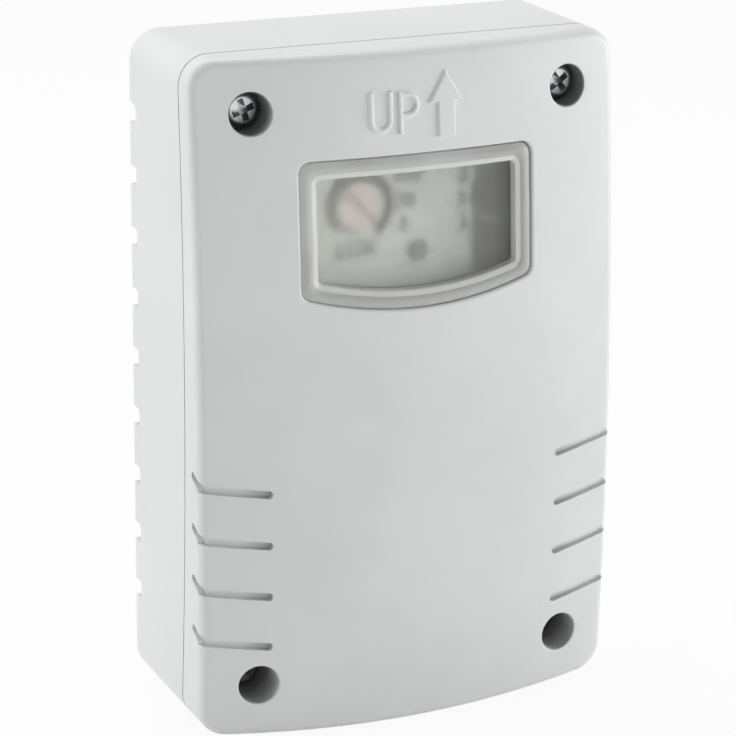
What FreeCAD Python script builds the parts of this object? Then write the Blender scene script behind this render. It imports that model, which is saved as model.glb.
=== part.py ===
import FreeCAD, Part
import math
import os
import re
import Sketcher

# Twilight switch: a wall box with a bulging front cover, a frosted window near its top,
# two adjusting dials and a light sensor behind that window, and a mains board inside.
# Frame: origin at the centre of the wall face, +X to the right, +Y into the wall, +Z up.

os.makedirs("parts", exist_ok=True)

SIZES = {
    # Outline of the box, seen from the front
    "body_half_width": 36.0,
    "body_top": 54.0,
    "body_low": 55.5,
    "body_low_radius": 433.0,
    "body_corner": 4.8,
    "wall": 2.4,
    # Bulging front face: an arc in plan, carried round a larger arc in side view
    "face_depth": 33.0,
    "face_rise": 27.9,
    "face_plan_radius": 160.0,
    "face_side_radius": 680.0,
    "face_edge_round": 1.6,
    # Seam between housing and cover, an arc in side view
    "seam_depth": 22.8,
    "seam_radius": 670.0,
    "seam_gap": 0.3,
    "rim_wall": 1.1,
    "rim_gap": 0.3,
    "lip_reach": 1.1,
    "seal_depth": 0.9,
    "seal_play": 0.05,
    # Rear of the housing
    "skirt": 3.0,
    "floor_thick": 2.2,
    "notch_tall": 3.0,
    "notch_deep": 2.5,
    "notch_round": 0.8,
    "notch_pitch": 10.0,
    "notch_middle": 1.1,
    "back_rib": 3.0,
    "wall_hole_drop": 9.0,
    "wall_hole_rise": 10.5,
    "wall_hole_radius": 2.25,
    "wall_pad_radius": 5.5,
    "wall_collar_tall": 1.6,
    # Corner screws, their wells in the cover and their posts in the housing
    "screw_inset_side": 9.25,
    "screw_drop": 8.3,
    "screw_rise": 9.8,
    "well_radius": 3.25,
    "well_wall": 1.75,
    "well_floor": 2.0,
    "post_top": 19.3,
    "post_radius": 4.2,
    "post_rib": 1.6,
    "post_rib_drop": 2.0,
    "screw_head_radius": 2.75,
    "screw_head_tall": 2.0,
    "screw_crown": 1.0,
    "screw_shank_radius": 1.45,
    "screw_length": 12.0,
    "screw_play": 0.15,
    # Window and its lens
    "window_half_width": 19.6,
    "window_drop": 16.2,
    "window_tall": 23.8,
    "window_low_radius": 65.0,
    "window_corner": 1.8,
    "window_gap": 0.15,
    "lens_rim": 2.85,
    "lens_recess": 2.0,
    "lens_deep": 4.2,
    "lens_flange": 2.0,
    "lens_glue": 0.05,
    "pane_corner": 1.3,
    # Grip grooves on each side
    "groove_rise": 43.5,
    "groove_pitch": 8.5,
    "groove_tall": 1.3,
    "groove_deep": 1.1,
    "groove_run": 10.7,
    "groove_rear": 26.0,
    "groove_corner": 28.7,
    "groove_face_slope": 9.0,
    "groove_side_slope": 27.0,
    # Cable entries, grommets and clamps
    "entry_offset": 16.0,
    "entry_depth": 11.5,
    "entry_radius": 5.2,
    "entry_pad_radius": 6.7,
    "entry_seat_radius": 6.4,
    "entry_seat_deep": 1.4,
    "entry_wall": 3.3,
    "grommet_play": 0.1,
    "grommet_flange_radius": 6.25,
    "grommet_flange": 1.1,
    "grommet_lip_radius": 6.2,
    "grommet_lip": 1.2,
    "cable_radius": 3.2,
    "clamp_rise": 17.5,
    "clamp_half_span": 6.6,
    "clamp_post_radius": 2.3,
    "clamp_seat": 14.5,
    "clamp_thick": 2.6,
    "clamp_tall": 6.0,
    "clamp_hollow": 0.8,
    "clamp_ridge": 1.4,
    "clamp_corner": 1.0,
    # Circuit board and the small screws
    "board_side_gap": 2.6,
    "board_rise": 29.5,
    "board_over": 2.6,
    "board_thick": 1.6,
    "board_rear": 8.2,
    "board_corner": 1.5,
    "board_hole_inset": 3.5,
    "board_hole_rise": 7.1,
    "stud_radius": 3.0,
    "small_head_radius": 2.4,
    "small_head_tall": 1.5,
    "small_shank_radius": 1.2,
    "small_play": 0.1,
    "small_length": 5.5,
    "stud_bite": 1.2,
    # Control panel behind the window
    "panel_left_margin": 3.4,
    "panel_right_margin": 4.4,
    "panel_over": 1.8,
    "panel_under": 1.5,
    "panel_front": 20.4,
    "panel_thick": 1.8,
    "panel_rim": 1.2,
    "panel_rim_deep": 4.0,
    "panel_corner": 2.0,
    "panel_leg_inset": 3.2,
    "panel_leg_radius": 2.4,
    # Adjusting dials and potentiometers
    "dial_drop": 9.6,
    "lux_offset": 6.5,
    "time_inset": 2.0,
    "dial_radius": 4.0,
    "dial_front": 21.7,
    "dial_rear": 17.2,
    "dial_play": 0.4,
    "dial_slot_wide": 0.9,
    "dial_slot_deep": 0.9,
    "dial_slot_share": 0.8,
    "dial_edge": 0.4,
    "lux_turn": -45.0,
    "time_turn": -30.0,
    "pot_side": 9.5,
    "pot_deep": 5.4,
    "pot_shaft_radius": 1.9,
    "pot_shaft_play": 0.05,
    "pot_bore_deep": 4.0,
    "pot_end_play": 0.3,
    "pot_corner": 0.6,
    # Light sensor and indicator lamp, each on a spacer
    "bulb_drop": 17.9,
    "sensor_offset": 4.0,
    "sensor_radius": 1.6,
    "sensor_front": 21.0,
    "lamp_offset": 15.2,
    "lamp_radius": 1.5,
    "lamp_front": 20.9,
    "spacer_radius": 2.2,
    "spacer_deep": 6.4,
    "bulb_flange_radius": 1.9,
    "bulb_flange": 0.8,
    "bulb_play": 0.25,
    "bulb_lead_span": 2.0,
    "lead_radius": 0.35,
    # Relay
    "relay_gap": 0.6,
    "relay_wide": 19.0,
    "relay_rise": 13.4,
    "relay_tall": 15.4,
    "relay_deep": 15.4,
    "relay_round": 0.8,
    # Power supply parts
    "dropper_wide": 15.0,
    "dropper_rise": 13.4,
    "dropper_tall": 7.5,
    "dropper_deep": 13.0,
    "dropper_round": 0.6,
    "can_offset": 3.4,
    "can_rise": 25.6,
    "can_radius": 4.0,
    "can_deep": 11.5,
    "can_round": 0.7,
    "can_groove": 0.5,
    "can_neck": 2.2,
    "varistor_offset": 4.5,
    "varistor_rise": 25.0,
    "varistor_radius": 3.5,
    "varistor_thick": 3.4,
    "varistor_lift": 1.6,
    "varistor_round": 1.2,
    "fuse_inset": 4.4,
    "fuse_rise": 13.6,
    "fuse_length": 20.0,
    "fuse_radius": 2.5,
    "fuse_cap_radius": 2.6,
    "fuse_cap": 5.0,
    "fuse_lift": 4.6,
    "clip_thick": 0.5,
    "clip_tall": 4.0,
    "clip_reach": 1.6,
    "diode_run": 14.0,
    "diode_pitch": 2.9,
    "diode_rise": 17.95,
    "diode_length": 5.0,
    "diode_radius": 1.3,
    "resistor_run": 13.6,
    "resistor_pitch": 2.9,
    "resistor_rise": 27.75,
    "resistor_length": 6.0,
    "resistor_radius": 1.2,
    "lead_run": 1.6,
    "axial_lift": 0.2,
    # Control circuit under the panel
    "chip_offset": 5.6,
    "chip_drop": 4.6,
    "chip_long": 9.6,
    "chip_wide": 6.4,
    "chip_deep": 3.4,
    "chip_stand": 0.5,
    "chip_leg_wide": 0.6,
    "chip_leg_pitch": 2.54,
    "chip_leg_out": 0.7,
    "chip_leg_thick": 0.3,
    "transistor_offset": 13.0,
    "transistor_drop": 3.0,
    "transistor_radius": 2.3,
    "transistor_flat_level": 1.3,
    "transistor_lead_pitch": 1.3,
    "transistor_deep": 4.8,
    "transistor_lift": 2.4,
    # Terminal block
    "block_half_width": 16.6,
    "block_rise": 0.6,
    "block_tall": 12.0,
    "block_deep": 12.6,
    "block_step_tall": 4.0,
    "block_step_deep": 3.0,
    "pole_pitch": 7.62,
    "pole_half_width": 2.8,
    "pole_rear": 1.6,
    "pole_deep": 7.2,
    "pole_tall": 9.0,
    "pole_screw_rise": 5.8,
    "pole_well_radius": 2.2,
    "cage_half_width": 2.6,
    "cage_inset": 3.2,
    "cage_tall": 5.4,
    "cage_wall": 0.9,
    "cage_top": 1.4,
    "cage_play": 0.2,
    "cage_screw_radius": 1.4,
    "cage_screw_head_radius": 2.0,
    "cage_screw_head": 1.5,
    "cage_screw_length": 4.0,
    "driver_slot_wide": 0.8,
    "driver_slot_deep": 0.9,
}

NOTCHES = 9
GROOVES = 4
POLES = 4
DIODES = 4
RESISTORS = 4
CHIP_LEGS_A_SIDE = 4

CORNERS = ((-1, -1), (1, -1), (1, 1), (-1, 1))
TO_FRONT = FreeCAD.Rotation(FreeCAD.Vector(1, 0, 0), 90)
ALONG_X = FreeCAD.Rotation(FreeCAD.Vector(0, 1, 0), 90)
CLEAR = "60"

doc = FreeCAD.newDocument("TwilightSwitch")
sheet = doc.addObject("Spreadsheet::Sheet", "Sizes")
for row, (alias, value) in enumerate(SIZES.items(), start=1):
    sheet.set("A" + str(row), alias)
    sheet.set("B" + str(row), str(value))
    sheet.setAlias("B" + str(row), alias)
doc.recompute()


# Helpers: expressions, placement and plain solids

def number(alias):
    """The value of a named size, where a formula needs it."""
    return float(sheet.get(alias))


def total(text):
    """The value of a plain sum of named sizes."""
    value = 0.0
    for sign, word in re.findall(r"([-+]?)\s*([a-z_]+)", text):
        value += -number(word) if sign == "-" else number(word)
    return value


def cells(text):
    """Put the sheet's name in front of each size that an expression names."""
    def with_sheet(match):
        word = match.group(0)
        return "Sizes." + word if word in SIZES else word
    return re.sub(r"[a-z_]+", with_sheet, text)


def tie(item, **properties):
    """Bind properties of an object to expressions of the sheet's sizes."""
    for name, text in properties.items():
        item.setExpression(name, cells(text))
    return item


def place(item, x, y, z, turn=None):
    """Put an object at a bound point, turned by a fixed rotation."""
    item.Placement = FreeCAD.Placement(FreeCAD.Vector(), turn or FreeCAD.Rotation())
    for axis, text in zip("xyz", (x, y, z)):
        item.setExpression(".Placement.Base." + axis, cells(text))
    return item


def block(name, left, right, front, rear, low, high):
    """A box between six planes; front and rear are depths in front of the wall."""
    item = doc.addObject("Part::Box", name)
    tie(item, Length=f"({right}) - ({left})", Width=f"({front}) - ({rear})", Height=f"({high}) - ({low})")
    return place(item, left, f"-({front})", low)


def rod_to_front(name, radius, x, z, rear, front):
    """A round bar that points out of the wall, between two depths."""
    item = doc.addObject("Part::Cylinder", name)
    tie(item, Radius=radius, Height=f"({front}) - ({rear})")
    return place(item, x, f"-({rear})", z, TO_FRONT)


def rod_upward(name, radius, x, depth, low, high):
    """A round bar that stands upright."""
    item = doc.addObject("Part::Cylinder", name)
    tie(item, Radius=radius, Height=f"({high}) - ({low})")
    return place(item, x, f"-({depth})", low)


def fuse(name, *items):
    """Join solids into one."""
    item = doc.addObject("Part::MultiFuse", name)
    item.Shapes = list(items)
    item.Refine = True
    return item


def cut(name, base, *tools):
    """Take the tools out of the base."""
    item = doc.addObject("Part::Cut", name)
    item.Base = base
    item.Tool = tools[0] if len(tools) == 1 else fuse(name + "_tools", *tools)
    item.Refine = True
    return item


def common(name, first, second):
    """Keep what two solids share."""
    item = doc.addObject("Part::Common", name)
    item.Base = first
    item.Tool = second
    item.Refine = True
    return item


def group(name, items):
    """Separate solids that share one node."""
    item = doc.addObject("Part::Compound", name)
    item.Links = list(items)
    return item


def rounded(name, base, alias, chooses):
    """Round the edges of a solid that a test chooses."""
    doc.recompute()
    radius = number(alias)
    whole = base.Shape.BoundBox
    edges = []
    for place_in_list, edge in enumerate(base.Shape.Edges, start=1):
        if chooses(edge.BoundBox, whole):
            edges.append((place_in_list, radius, radius))
    item = doc.addObject("Part::Fillet", name)
    item.Base = base
    item.Edges = edges
    return item


def at_front(box, whole):
    """True for an edge that lies in the foremost plane of a solid."""
    return box.YLength < 0.05 and box.YMin < whole.YMin + 0.05


def signed(side, text):
    """An expression on the left or the right of the middle."""
    return f"{side} * ({text})"


# Outlines: a rounded rectangle with a bowed lower edge, in half width, top, lowest level, bow and corner

OUTLINES = {
    "body": ("body_half_width", "body_top", "body_low", "body_low_radius", "body_corner"),
    "window": ("window_half_width", "body_top - window_drop", "window_drop + window_tall - body_top",
               "window_low_radius", "window_corner"),
    "pane": ("window_half_width - lens_rim", "body_top - window_drop - lens_rim",
             "window_drop + window_tall - lens_rim - body_top", "window_low_radius - lens_rim",
             "pane_corner"),
}


def outline(name, family, inset):
    """Sketch of a family's outline, moved inwards by an inset; the corners go with it."""
    sizes = OUTLINES[family]
    half, top, low, bow, corner = (total(text) for text in sizes)
    side = half - corner
    bow_centre = bow - low
    drop = math.sqrt((bow - corner) ** 2 - side ** 2)
    turn = math.asin(side / (bow - corner))
    down = 1.5 * math.pi
    sketch = doc.addObject("Sketcher::SketchObject", name)
    sketch.Placement = FreeCAD.Placement(FreeCAD.Vector(), TO_FRONT)

    def line(x1, z1, x2, z2):
        sketch.addGeometry(Part.LineSegment(FreeCAD.Vector(x1, z1, 0), FreeCAD.Vector(x2, z2, 0)))

    def arc(x, z, radius, start, end):
        circle = Part.Circle(FreeCAD.Vector(x, z, 0), FreeCAD.Vector(0, 0, 1), radius)
        sketch.addGeometry(Part.ArcOfCircle(circle, start, end))

    line(-side, top, side, top)
    arc(side, top - corner, corner, 0, math.pi / 2)
    line(half, top - corner, half, bow_centre - drop)
    arc(side, bow_centre - drop, corner, down + turn, 2 * math.pi)
    arc(0, bow_centre, bow, down - turn, down + turn)
    arc(-side, bow_centre - drop, corner, math.pi, down - turn)
    line(-half, bow_centre - drop, -half, top - corner)
    arc(-side, top - corner, corner, math.pi / 2, math.pi)

    start, end, middle = 1, 2, 3
    origin, upright = -1, -2
    joins = ((0, end, 1, end), (1, start, 2, start), (2, end, 3, end), (3, start, 4, end),
             (4, start, 5, end), (5, start, 6, start), (6, end, 7, end), (7, start, 0, start))
    for join in joins:
        sketch.addConstraint(Sketcher.Constraint("Tangent", *join))
    sketch.addConstraint(Sketcher.Constraint("Horizontal", 0))
    sketch.addConstraint(Sketcher.Constraint("Vertical", 2))
    sketch.addConstraint(Sketcher.Constraint("Vertical", 6))
    for other in (3, 5, 7):
        sketch.addConstraint(Sketcher.Constraint("Equal", 1, other))
    sketch.addConstraint(Sketcher.Constraint("PointOnObject", 4, middle, upright))

    def hold(label, constraint, text):
        index = sketch.addConstraint(constraint)
        sketch.renameConstraint(index, label)
        sketch.setExpression("Constraints." + label, cells(text))

    half_text, top_text, low_text, bow_text, corner_text = sizes
    hold("corner", Sketcher.Constraint("Radius", 1, corner), f"{corner_text} - ({inset})")
    hold("bow", Sketcher.Constraint("Radius", 4, bow), f"{bow_text} - ({inset})")
    hold("top", Sketcher.Constraint("DistanceY", origin, start, 0, start, top), f"{top_text} - ({inset})")
    hold("right", Sketcher.Constraint("DistanceX", origin, start, 2, start, half),
         f"{half_text} - ({inset})")
    hold("left", Sketcher.Constraint("DistanceX", 6, start, origin, start, half),
         f"{half_text} - ({inset})")
    hold("centre", Sketcher.Constraint("DistanceY", origin, start, 4, middle, bow_centre),
         f"{bow_text} - ({low_text})")
    return sketch


def prism(name, family, inset, rear, front):
    """The outline carried out of the wall between two depths."""
    sketch = outline(name + "_outline", family, inset)
    sketch.setExpression(".Placement.Base.y", cells(f"-({rear})"))
    item = doc.addObject("Part::Extrusion", name)
    item.Base = sketch
    item.DirMode = "Custom"
    item.Dir = FreeCAD.Vector(0, -1, 0)
    item.Solid = True
    return tie(item, LengthFwd=f"({front}) - ({rear})")


def behind_face(name, inset):
    """All that lies behind the bulging face, moved inwards by an inset."""
    item = doc.addObject("Part::Torus", name)
    tie(item, Radius1="face_side_radius - face_plan_radius", Radius2=f"face_plan_radius - ({inset})")
    return place(item, "0", "face_side_radius - face_depth", "face_rise - body_low", ALONG_X)


def behind_seam(name, shift):
    """All that lies behind the seam, moved into the wall by a shift."""
    item = doc.addObject("Part::Cylinder", name)
    tie(item, Radius="seam_radius", Height=f"2 * {CLEAR}")
    return place(item, "-" + CLEAR, f"seam_radius - seam_depth + ({shift})", "0", ALONG_X)


# Places that several pieces share

LEDGE = "lip_reach + seam_gap + seal_depth"
FLOOR_FRONT = "skirt + floor_thick"
WALL_HOLE_HIGH = "(body_top - wall_hole_drop)"
WALL_HOLE_LOW = "(wall_hole_rise - body_low)"
ENTRY_SEAT = "(entry_seat_deep - body_low)"
ENTRY_TOP = "(entry_seat_deep + entry_wall - body_low)"
CLAMP_LEVEL = "(clamp_rise - body_low)"
GROOVE_INNER = "(body_half_width - groove_run)"
BOARD_HALF = "(body_half_width - wall - board_side_gap)"
BOARD_LOW = "(board_rise - body_low)"
BOARD_TOP = "(body_top - window_drop + board_over)"
BOARD_FRONT = "board_rear + board_thick"
PANEL_LEFT = "-(window_half_width + panel_left_margin)"
PANEL_RIGHT = "(window_half_width + panel_right_margin)"
PANEL_TOP = "(body_top - window_drop + panel_over)"
PANEL_LOW = "(body_top - window_drop - window_tall - panel_under)"
DIAL_LEVEL = "(body_top - window_drop - dial_drop)"
LUX_X = "-lux_offset"
TIME_X = "(window_half_width - time_inset)"
BULB_LEVEL = "(body_top - window_drop - bulb_drop)"
POT_FRONT = BOARD_FRONT + " + pot_deep"
SPACER_FRONT = BOARD_FRONT + " + spacer_deep"
FUSE_X = f"({BOARD_HALF} - fuse_inset)"
FUSE_LOW = f"({BOARD_LOW} + fuse_rise)"
BLOCK_LOW = f"({BOARD_LOW} + block_rise)"


def post_place(right, up):
    """The axis of a corner screw, on the left or right and at the top or bottom."""
    x = signed(right, "body_half_width - screw_inset_side")
    return x, "(body_top - screw_drop)" if up > 0 else "(screw_rise - body_low)"


# Rear housing


def housing_shell():
    """Walls and floor, open to the front, with the stepped rim that takes the seal."""
    solid = common("housing_solid", prism("housing_prism", "body", "0", "0", "seam_depth"),
                   behind_seam("housing_seam", "seam_gap"))
    notched = cut("housing_notched", solid, *rim_notches())
    recess = prism("housing_recess", "body", "wall", "-1", "skirt")
    cavity = prism("housing_cavity", "body", "wall", FLOOR_FRONT, "face_depth")
    step = cut("housing_step", prism("housing_step_prism", "body", "rim_wall", "skirt", "face_depth"),
               behind_seam("housing_step_seam", LEDGE))
    return cut("housing_shell", notched, recess, cavity, step)


def rim_notches():
    """Rounded notches through the rear rim on both sides, which let water run off behind."""
    notches = []
    for count in range(NOTCHES):
        middle = f"notch_middle + {count - (NOTCHES - 1) / 2} * notch_pitch"
        tool = block(f"notch_{count}", "-" + CLEAR, CLEAR, "notch_deep", "-1",
                     f"{middle} - notch_tall / 2", f"{middle} + notch_tall / 2")
        notches.append(rounded(f"notch_{count}_round", tool, "notch_round",
                               lambda box, whole: box.XLength > 1 and box.YMax < whole.YMin + 0.05))
    return notches


def housing_back():
    """Ribs and pads behind the floor, level with the rim."""
    upright = block("back_rib_upright", "-back_rib / 2", "back_rib / 2", "skirt", "0",
                    WALL_HOLE_LOW, WALL_HOLE_HIGH)
    pieces = [upright]
    for name, level in (("low", WALL_HOLE_LOW + " / 2"), ("high", WALL_HOLE_HIGH + " / 2")):
        pieces.append(block("back_rib_" + name, "-body_half_width + wall / 2", "body_half_width - wall / 2",
                            "skirt", "0", f"{level} - back_rib / 2", f"{level} + back_rib / 2"))
    for name, level in (("low", WALL_HOLE_LOW), ("high", WALL_HOLE_HIGH)):
        pieces.append(rod_to_front("wall_pad_" + name, "wall_pad_radius", "0", level, "0",
                                   FLOOR_FRONT + " + wall_collar_tall"))
    return pieces


def corner_posts():
    """Posts for the cover screws, each with two ribs to the walls beside it."""
    pieces = []
    for index, (right, up) in enumerate(CORNERS):
        x, z = post_place(right, up)
        pieces.append(rod_to_front(f"post_{index}", "post_radius", x, z, "skirt", "post_top"))
        rib_front = "post_top - post_rib_drop"
        wall_x = signed(right, "body_half_width - wall / 2")
        low_x, high_x = (wall_x, x) if right < 0 else (x, wall_x)
        pieces.append(block(f"post_side_rib_{index}", low_x, high_x, rib_front, "skirt",
                            f"{z} - post_rib / 2", f"{z} + post_rib / 2"))
        wall_z = "body_top - wall / 2" if up > 0 else "wall - body_low"
        low_z, high_z = (wall_z, z) if up < 0 else (z, wall_z)
        pieces.append(block(f"post_end_rib_{index}", f"{x} - post_rib / 2", f"{x} + post_rib / 2",
                            rib_front, "skirt", low_z, high_z))
    return pieces


def board_screw_places():
    """Where the board's own screws go: near its lower corners and beside the panel."""
    places = []
    for right in (-1, 1):
        x = signed(right, BOARD_HALF + " - board_hole_inset")
        places.append((x, BOARD_LOW + " + board_hole_inset"))
        places.append((x, PANEL_LOW + " + board_hole_rise"))
    return places


def panel_screw_places():
    """Where the panel's two screws go, through its upper legs."""
    level = PANEL_TOP + " - panel_leg_inset"
    return [(PANEL_LEFT + " + panel_leg_inset", level), (PANEL_RIGHT + " - panel_leg_inset", level)]


def clamp_screw_places():
    """Two screws for each cable clamp."""
    places = []
    for right in (-1, 1):
        for side in (-1, 1):
            places.append((f"{right} * entry_offset + {side} * clamp_half_span", CLAMP_LEVEL))
    return places


def housing_fittings():
    """Studs for the board and the panel, clamp posts and ridges, and pads round the cable entries."""
    pieces = []
    for index, (x, z) in enumerate(board_screw_places() + panel_screw_places()):
        pieces.append(rod_to_front(f"stud_{index}", "stud_radius", x, z, "skirt", "board_rear"))
    for index, (x, z) in enumerate(clamp_screw_places()):
        pieces.append(rod_to_front(f"clamp_post_{index}", "clamp_post_radius", x, z, "skirt", "clamp_seat"))
    for index, right in enumerate((-1, 1)):
        x = signed(right, "entry_offset")
        pieces.append(block(f"clamp_ridge_{index}", f"{x} - clamp_half_span", f"{x} + clamp_half_span",
                            "entry_depth - cable_radius", "skirt",
                            CLAMP_LEVEL + " - clamp_ridge / 2", CLAMP_LEVEL + " + clamp_ridge / 2"))
        pieces.append(rod_upward(f"entry_pad_{index}", "entry_pad_radius", x, "entry_depth",
                                 ENTRY_SEAT, ENTRY_TOP))
    return pieces


def housing_holes():
    """Screw bores, wall holes, cable entries and their seats."""
    holes = []
    for index, (right, up) in enumerate(CORNERS):
        x, z = post_place(right, up)
        holes.append(rod_to_front(f"post_bore_{index}", "screw_shank_radius + screw_play", x, z,
                                  "post_top + well_floor - screw_length - 1", "face_depth"))
    small_bore = "small_shank_radius + small_play"
    for index, (x, z) in enumerate(board_screw_places() + panel_screw_places()):
        holes.append(rod_to_front(f"stud_bore_{index}", small_bore, x, z, "skirt + floor_thick / 2",
                                  "board_rear + 1"))
    for index, (x, z) in enumerate(clamp_screw_places()):
        holes.append(rod_to_front(f"clamp_bore_{index}", small_bore, x, z,
                                  "clamp_seat - small_length", "clamp_seat + 1"))
    for name, level in (("low", WALL_HOLE_LOW), ("high", WALL_HOLE_HIGH)):
        holes.append(rod_to_front("wall_hole_" + name, "wall_hole_radius", "0", level, "-1", "face_depth"))
    for index, side in enumerate((-1, 1)):
        x = signed(side, "entry_offset")
        holes.append(rod_upward(f"entry_hole_{index}", "entry_radius", x, "entry_depth",
                                "-body_low - 1", ENTRY_TOP + " + 1"))
        holes.append(rod_upward(f"entry_seat_{index}", "entry_seat_radius", x, "entry_depth",
                                "-body_low - 1", ENTRY_SEAT))
    return holes


def rear_housing():
    shell = housing_shell()
    filled = fuse("housing_filled", shell, *housing_back(), *corner_posts(), *housing_fittings())
    return cut("rear_housing", filled, *housing_holes())


# Front cover

def cover_form():
    """The outer form: outline and bulging face, with a soft front edge."""
    sharp = common("cover_sharp", prism("cover_prism", "body", "0", "0", "face_depth + 1"),
                   behind_face("cover_face", "0"))
    clear_of_wall = -number("seam_depth") / 2
    return rounded("cover_form", sharp, "face_edge_round", lambda box, whole: box.YMax < clear_of_wall)


def cover_shell(form):
    """The form cut at the seam and hollowed, with a lip behind the seam that meets the seal."""
    skin = cut("cover_skin", form, behind_seam("cover_seam", "0"))
    lip_block = common("cover_lip_block",
                       prism("cover_lip_prism", "body", "rim_wall + rim_gap", "0", "face_depth"), form)
    lip = cut("cover_lip", lip_block, behind_seam("cover_lip_seam", "lip_reach"))
    cavity = common("cover_cavity", prism("cover_cavity_prism", "body", "wall", "0", "face_depth"),
                    behind_face("cover_cavity_face", "wall"))
    return cut("cover_shell", fuse("cover_solid", skin, lip), cavity)


def groove_cutter(count):
    """One groove on the right: over the face, round the corner and up the side wall."""
    corner_x = "body_half_width"
    corner_z = f"(groove_rise - body_low - {count} * groove_pitch)"
    half = "groove_tall / 2"
    inner_z = f"{corner_z} - groove_run * tan(groove_face_slope * 1deg)"
    rear_run = "(groove_corner - groove_rear)"
    rear_z = f"{corner_z} + {rear_run} * tan(groove_side_slope * 1deg)"

    face_bar = doc.addObject("Part::Box", f"groove_face_bar_{count}")
    tie(face_bar, Length="groove_run / cos(groove_face_slope * 1deg)",
        Width="face_depth - groove_corner + groove_deep", Height="groove_tall")
    place(face_bar, f"{GROOVE_INNER} + {half} * sin(groove_face_slope * 1deg)", "-face_depth",
          f"{inner_z} - {half} * cos(groove_face_slope * 1deg)",
          FreeCAD.Rotation(FreeCAD.Vector(0, -1, 0), 1))
    face_bar.setExpression(".Placement.Rotation.Angle", cells("groove_face_slope"))
    face_end = rod_to_front(f"groove_face_end_{count}", half, GROOVE_INNER, inner_z,
                            "groove_rear", "face_depth")

    side_bar = doc.addObject("Part::Box", f"groove_side_bar_{count}")
    tie(side_bar, Length="2 * groove_deep", Width=f"{rear_run} / cos(groove_side_slope * 1deg)",
        Height="groove_tall")
    place(side_bar, "body_half_width - groove_deep",
          f"-groove_corner + {half} * sin(groove_side_slope * 1deg)",
          f"{corner_z} - {half} * cos(groove_side_slope * 1deg)",
          FreeCAD.Rotation(FreeCAD.Vector(1, 0, 0), 1))
    side_bar.setExpression(".Placement.Rotation.Angle", cells("groove_side_slope"))
    side_end = doc.addObject("Part::Cylinder", f"groove_side_end_{count}")
    tie(side_end, Radius=half, Height="2 * groove_deep")
    place(side_end, "body_half_width - groove_deep", "-groove_rear", rear_z, ALONG_X)

    bend = doc.addObject("Part::Sphere", f"groove_bend_{count}")
    tie(bend, Radius=half)
    place(bend, corner_x, "-groove_corner", corner_z)
    return [face_bar, face_end, side_bar, side_end, bend]


def groove_cutters():
    """All grooves, no deeper than a core that keeps the same distance from face and side."""
    cutters = []
    for count in range(GROOVES):
        cutters += groove_cutter(count)
    right = fuse("grooves_right", *cutters)
    left = doc.addObject("Part::Mirroring", "grooves_left")
    left.Source = right
    left.Normal = FreeCAD.Vector(1, 0, 0)
    core = common("groove_core", prism("groove_core_prism", "body", "groove_deep", "0", "face_depth"),
                  behind_face("groove_core_face", "groove_deep"))
    return cut("groove_cutters", fuse("groove_slots", left, right), core)


def front_cover():
    form = cover_form()
    wells = []
    bosses = []
    for index, (right, up) in enumerate(CORNERS):
        x, z = post_place(right, up)
        bosses.append(rod_to_front(f"boss_{index}", "well_radius + well_wall", x, z, "post_top",
                                   "face_depth"))
        wells.append(rod_to_front(f"well_{index}", "well_radius", x, z, "post_top + well_floor",
                                  "face_depth + 1"))
        wells.append(rod_to_front(f"well_hole_{index}", "screw_shank_radius + screw_play", x, z,
                                  "post_top - 1", "face_depth"))
    trimmed = common("cover_bosses", fuse("boss_set", *bosses), form)
    body = fuse("cover_body", cover_shell(form), trimmed)
    opening = prism("window_opening", "window", "-window_gap", "seam_depth - 2", "face_depth + 1")
    return cut("front_cover", body, opening, groove_cutters(), *wells)


def window_lens():
    """A flush rim that follows the face, a sunk pane and a glued flange behind the cover's wall."""
    rear = behind_face("lens_rear", "lens_deep")
    plate = common("lens_plate", prism("lens_plate_prism", "window", "0", "seam_depth", "face_depth + 1"),
                   behind_face("lens_front", "0"))
    flange = common("lens_flange_block",
                    prism("lens_flange_prism", "window", "-lens_flange", "seam_depth", "face_depth + 1"),
                    behind_face("lens_flange_front", "wall + lens_glue"))
    pane = cut("lens_pane_space", prism("lens_pane_prism", "pane", "0", "seam_depth", "face_depth + 1"),
               behind_face("lens_pane_front", "lens_recess"))
    return cut("window_lens", fuse("lens_solid", plate, flange), rear, pane)


def cover_seal():
    """Soft ring on the housing's stepped rim, just short of the cover's lip."""
    ring = cut("seal_ring", prism("seal_outer", "body", "rim_wall + seal_play", "skirt", "face_depth"),
               prism("seal_inner", "body", "wall - seal_play", "0", "face_depth + 1"))
    front = common("seal_front", ring, behind_seam("seal_front_seam", "lip_reach + seam_gap"))
    return cut("cover_seal", front, behind_seam("seal_rear_seam", LEDGE))


# Fasteners

def copies(name, master, places, depth):
    """A group of like pieces, each set with its seat at a depth in front of the wall."""
    links = []
    for index, (x, z) in enumerate(places):
        link = doc.addObject("App::Link", f"{name}_{index}")
        link.LinkedObject = master
        for axis, text in zip("xyz", (x, f"-({depth})", z)):
            link.setExpression(".Placement.Base." + axis, cells(text))
        links.append(link)
    return group(name, links)


def cover_screws():
    """Pan head screws, each with its seat at the origin of its own axis and its head to the front."""
    disc = rod_to_front("cover_screw_disc", "screw_head_radius", "0", "0", "0", "screw_head_tall")
    domed = rounded("cover_screw_dome", disc, "screw_crown", at_front)
    shank = rod_to_front("cover_screw_shank", "screw_shank_radius", "0", "0", "-screw_length",
                         "screw_head_tall / 2")
    places = [post_place(right, up) for right, up in CORNERS]
    return copies("cover_screws", fuse("cover_screw", domed, shank), places, "post_top + well_floor")


def small_screw(name, length):
    """The smaller screw that holds the board, the panel and the clamps."""
    head = rod_to_front(name + "_head", "small_head_radius", "0", "0", "0", "small_head_tall")
    shank = rod_to_front(name + "_shank", "small_shank_radius", "0", "0", f"-({length})",
                         "small_head_tall / 2")
    return fuse(name, head, shank)


# Board and panel

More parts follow.
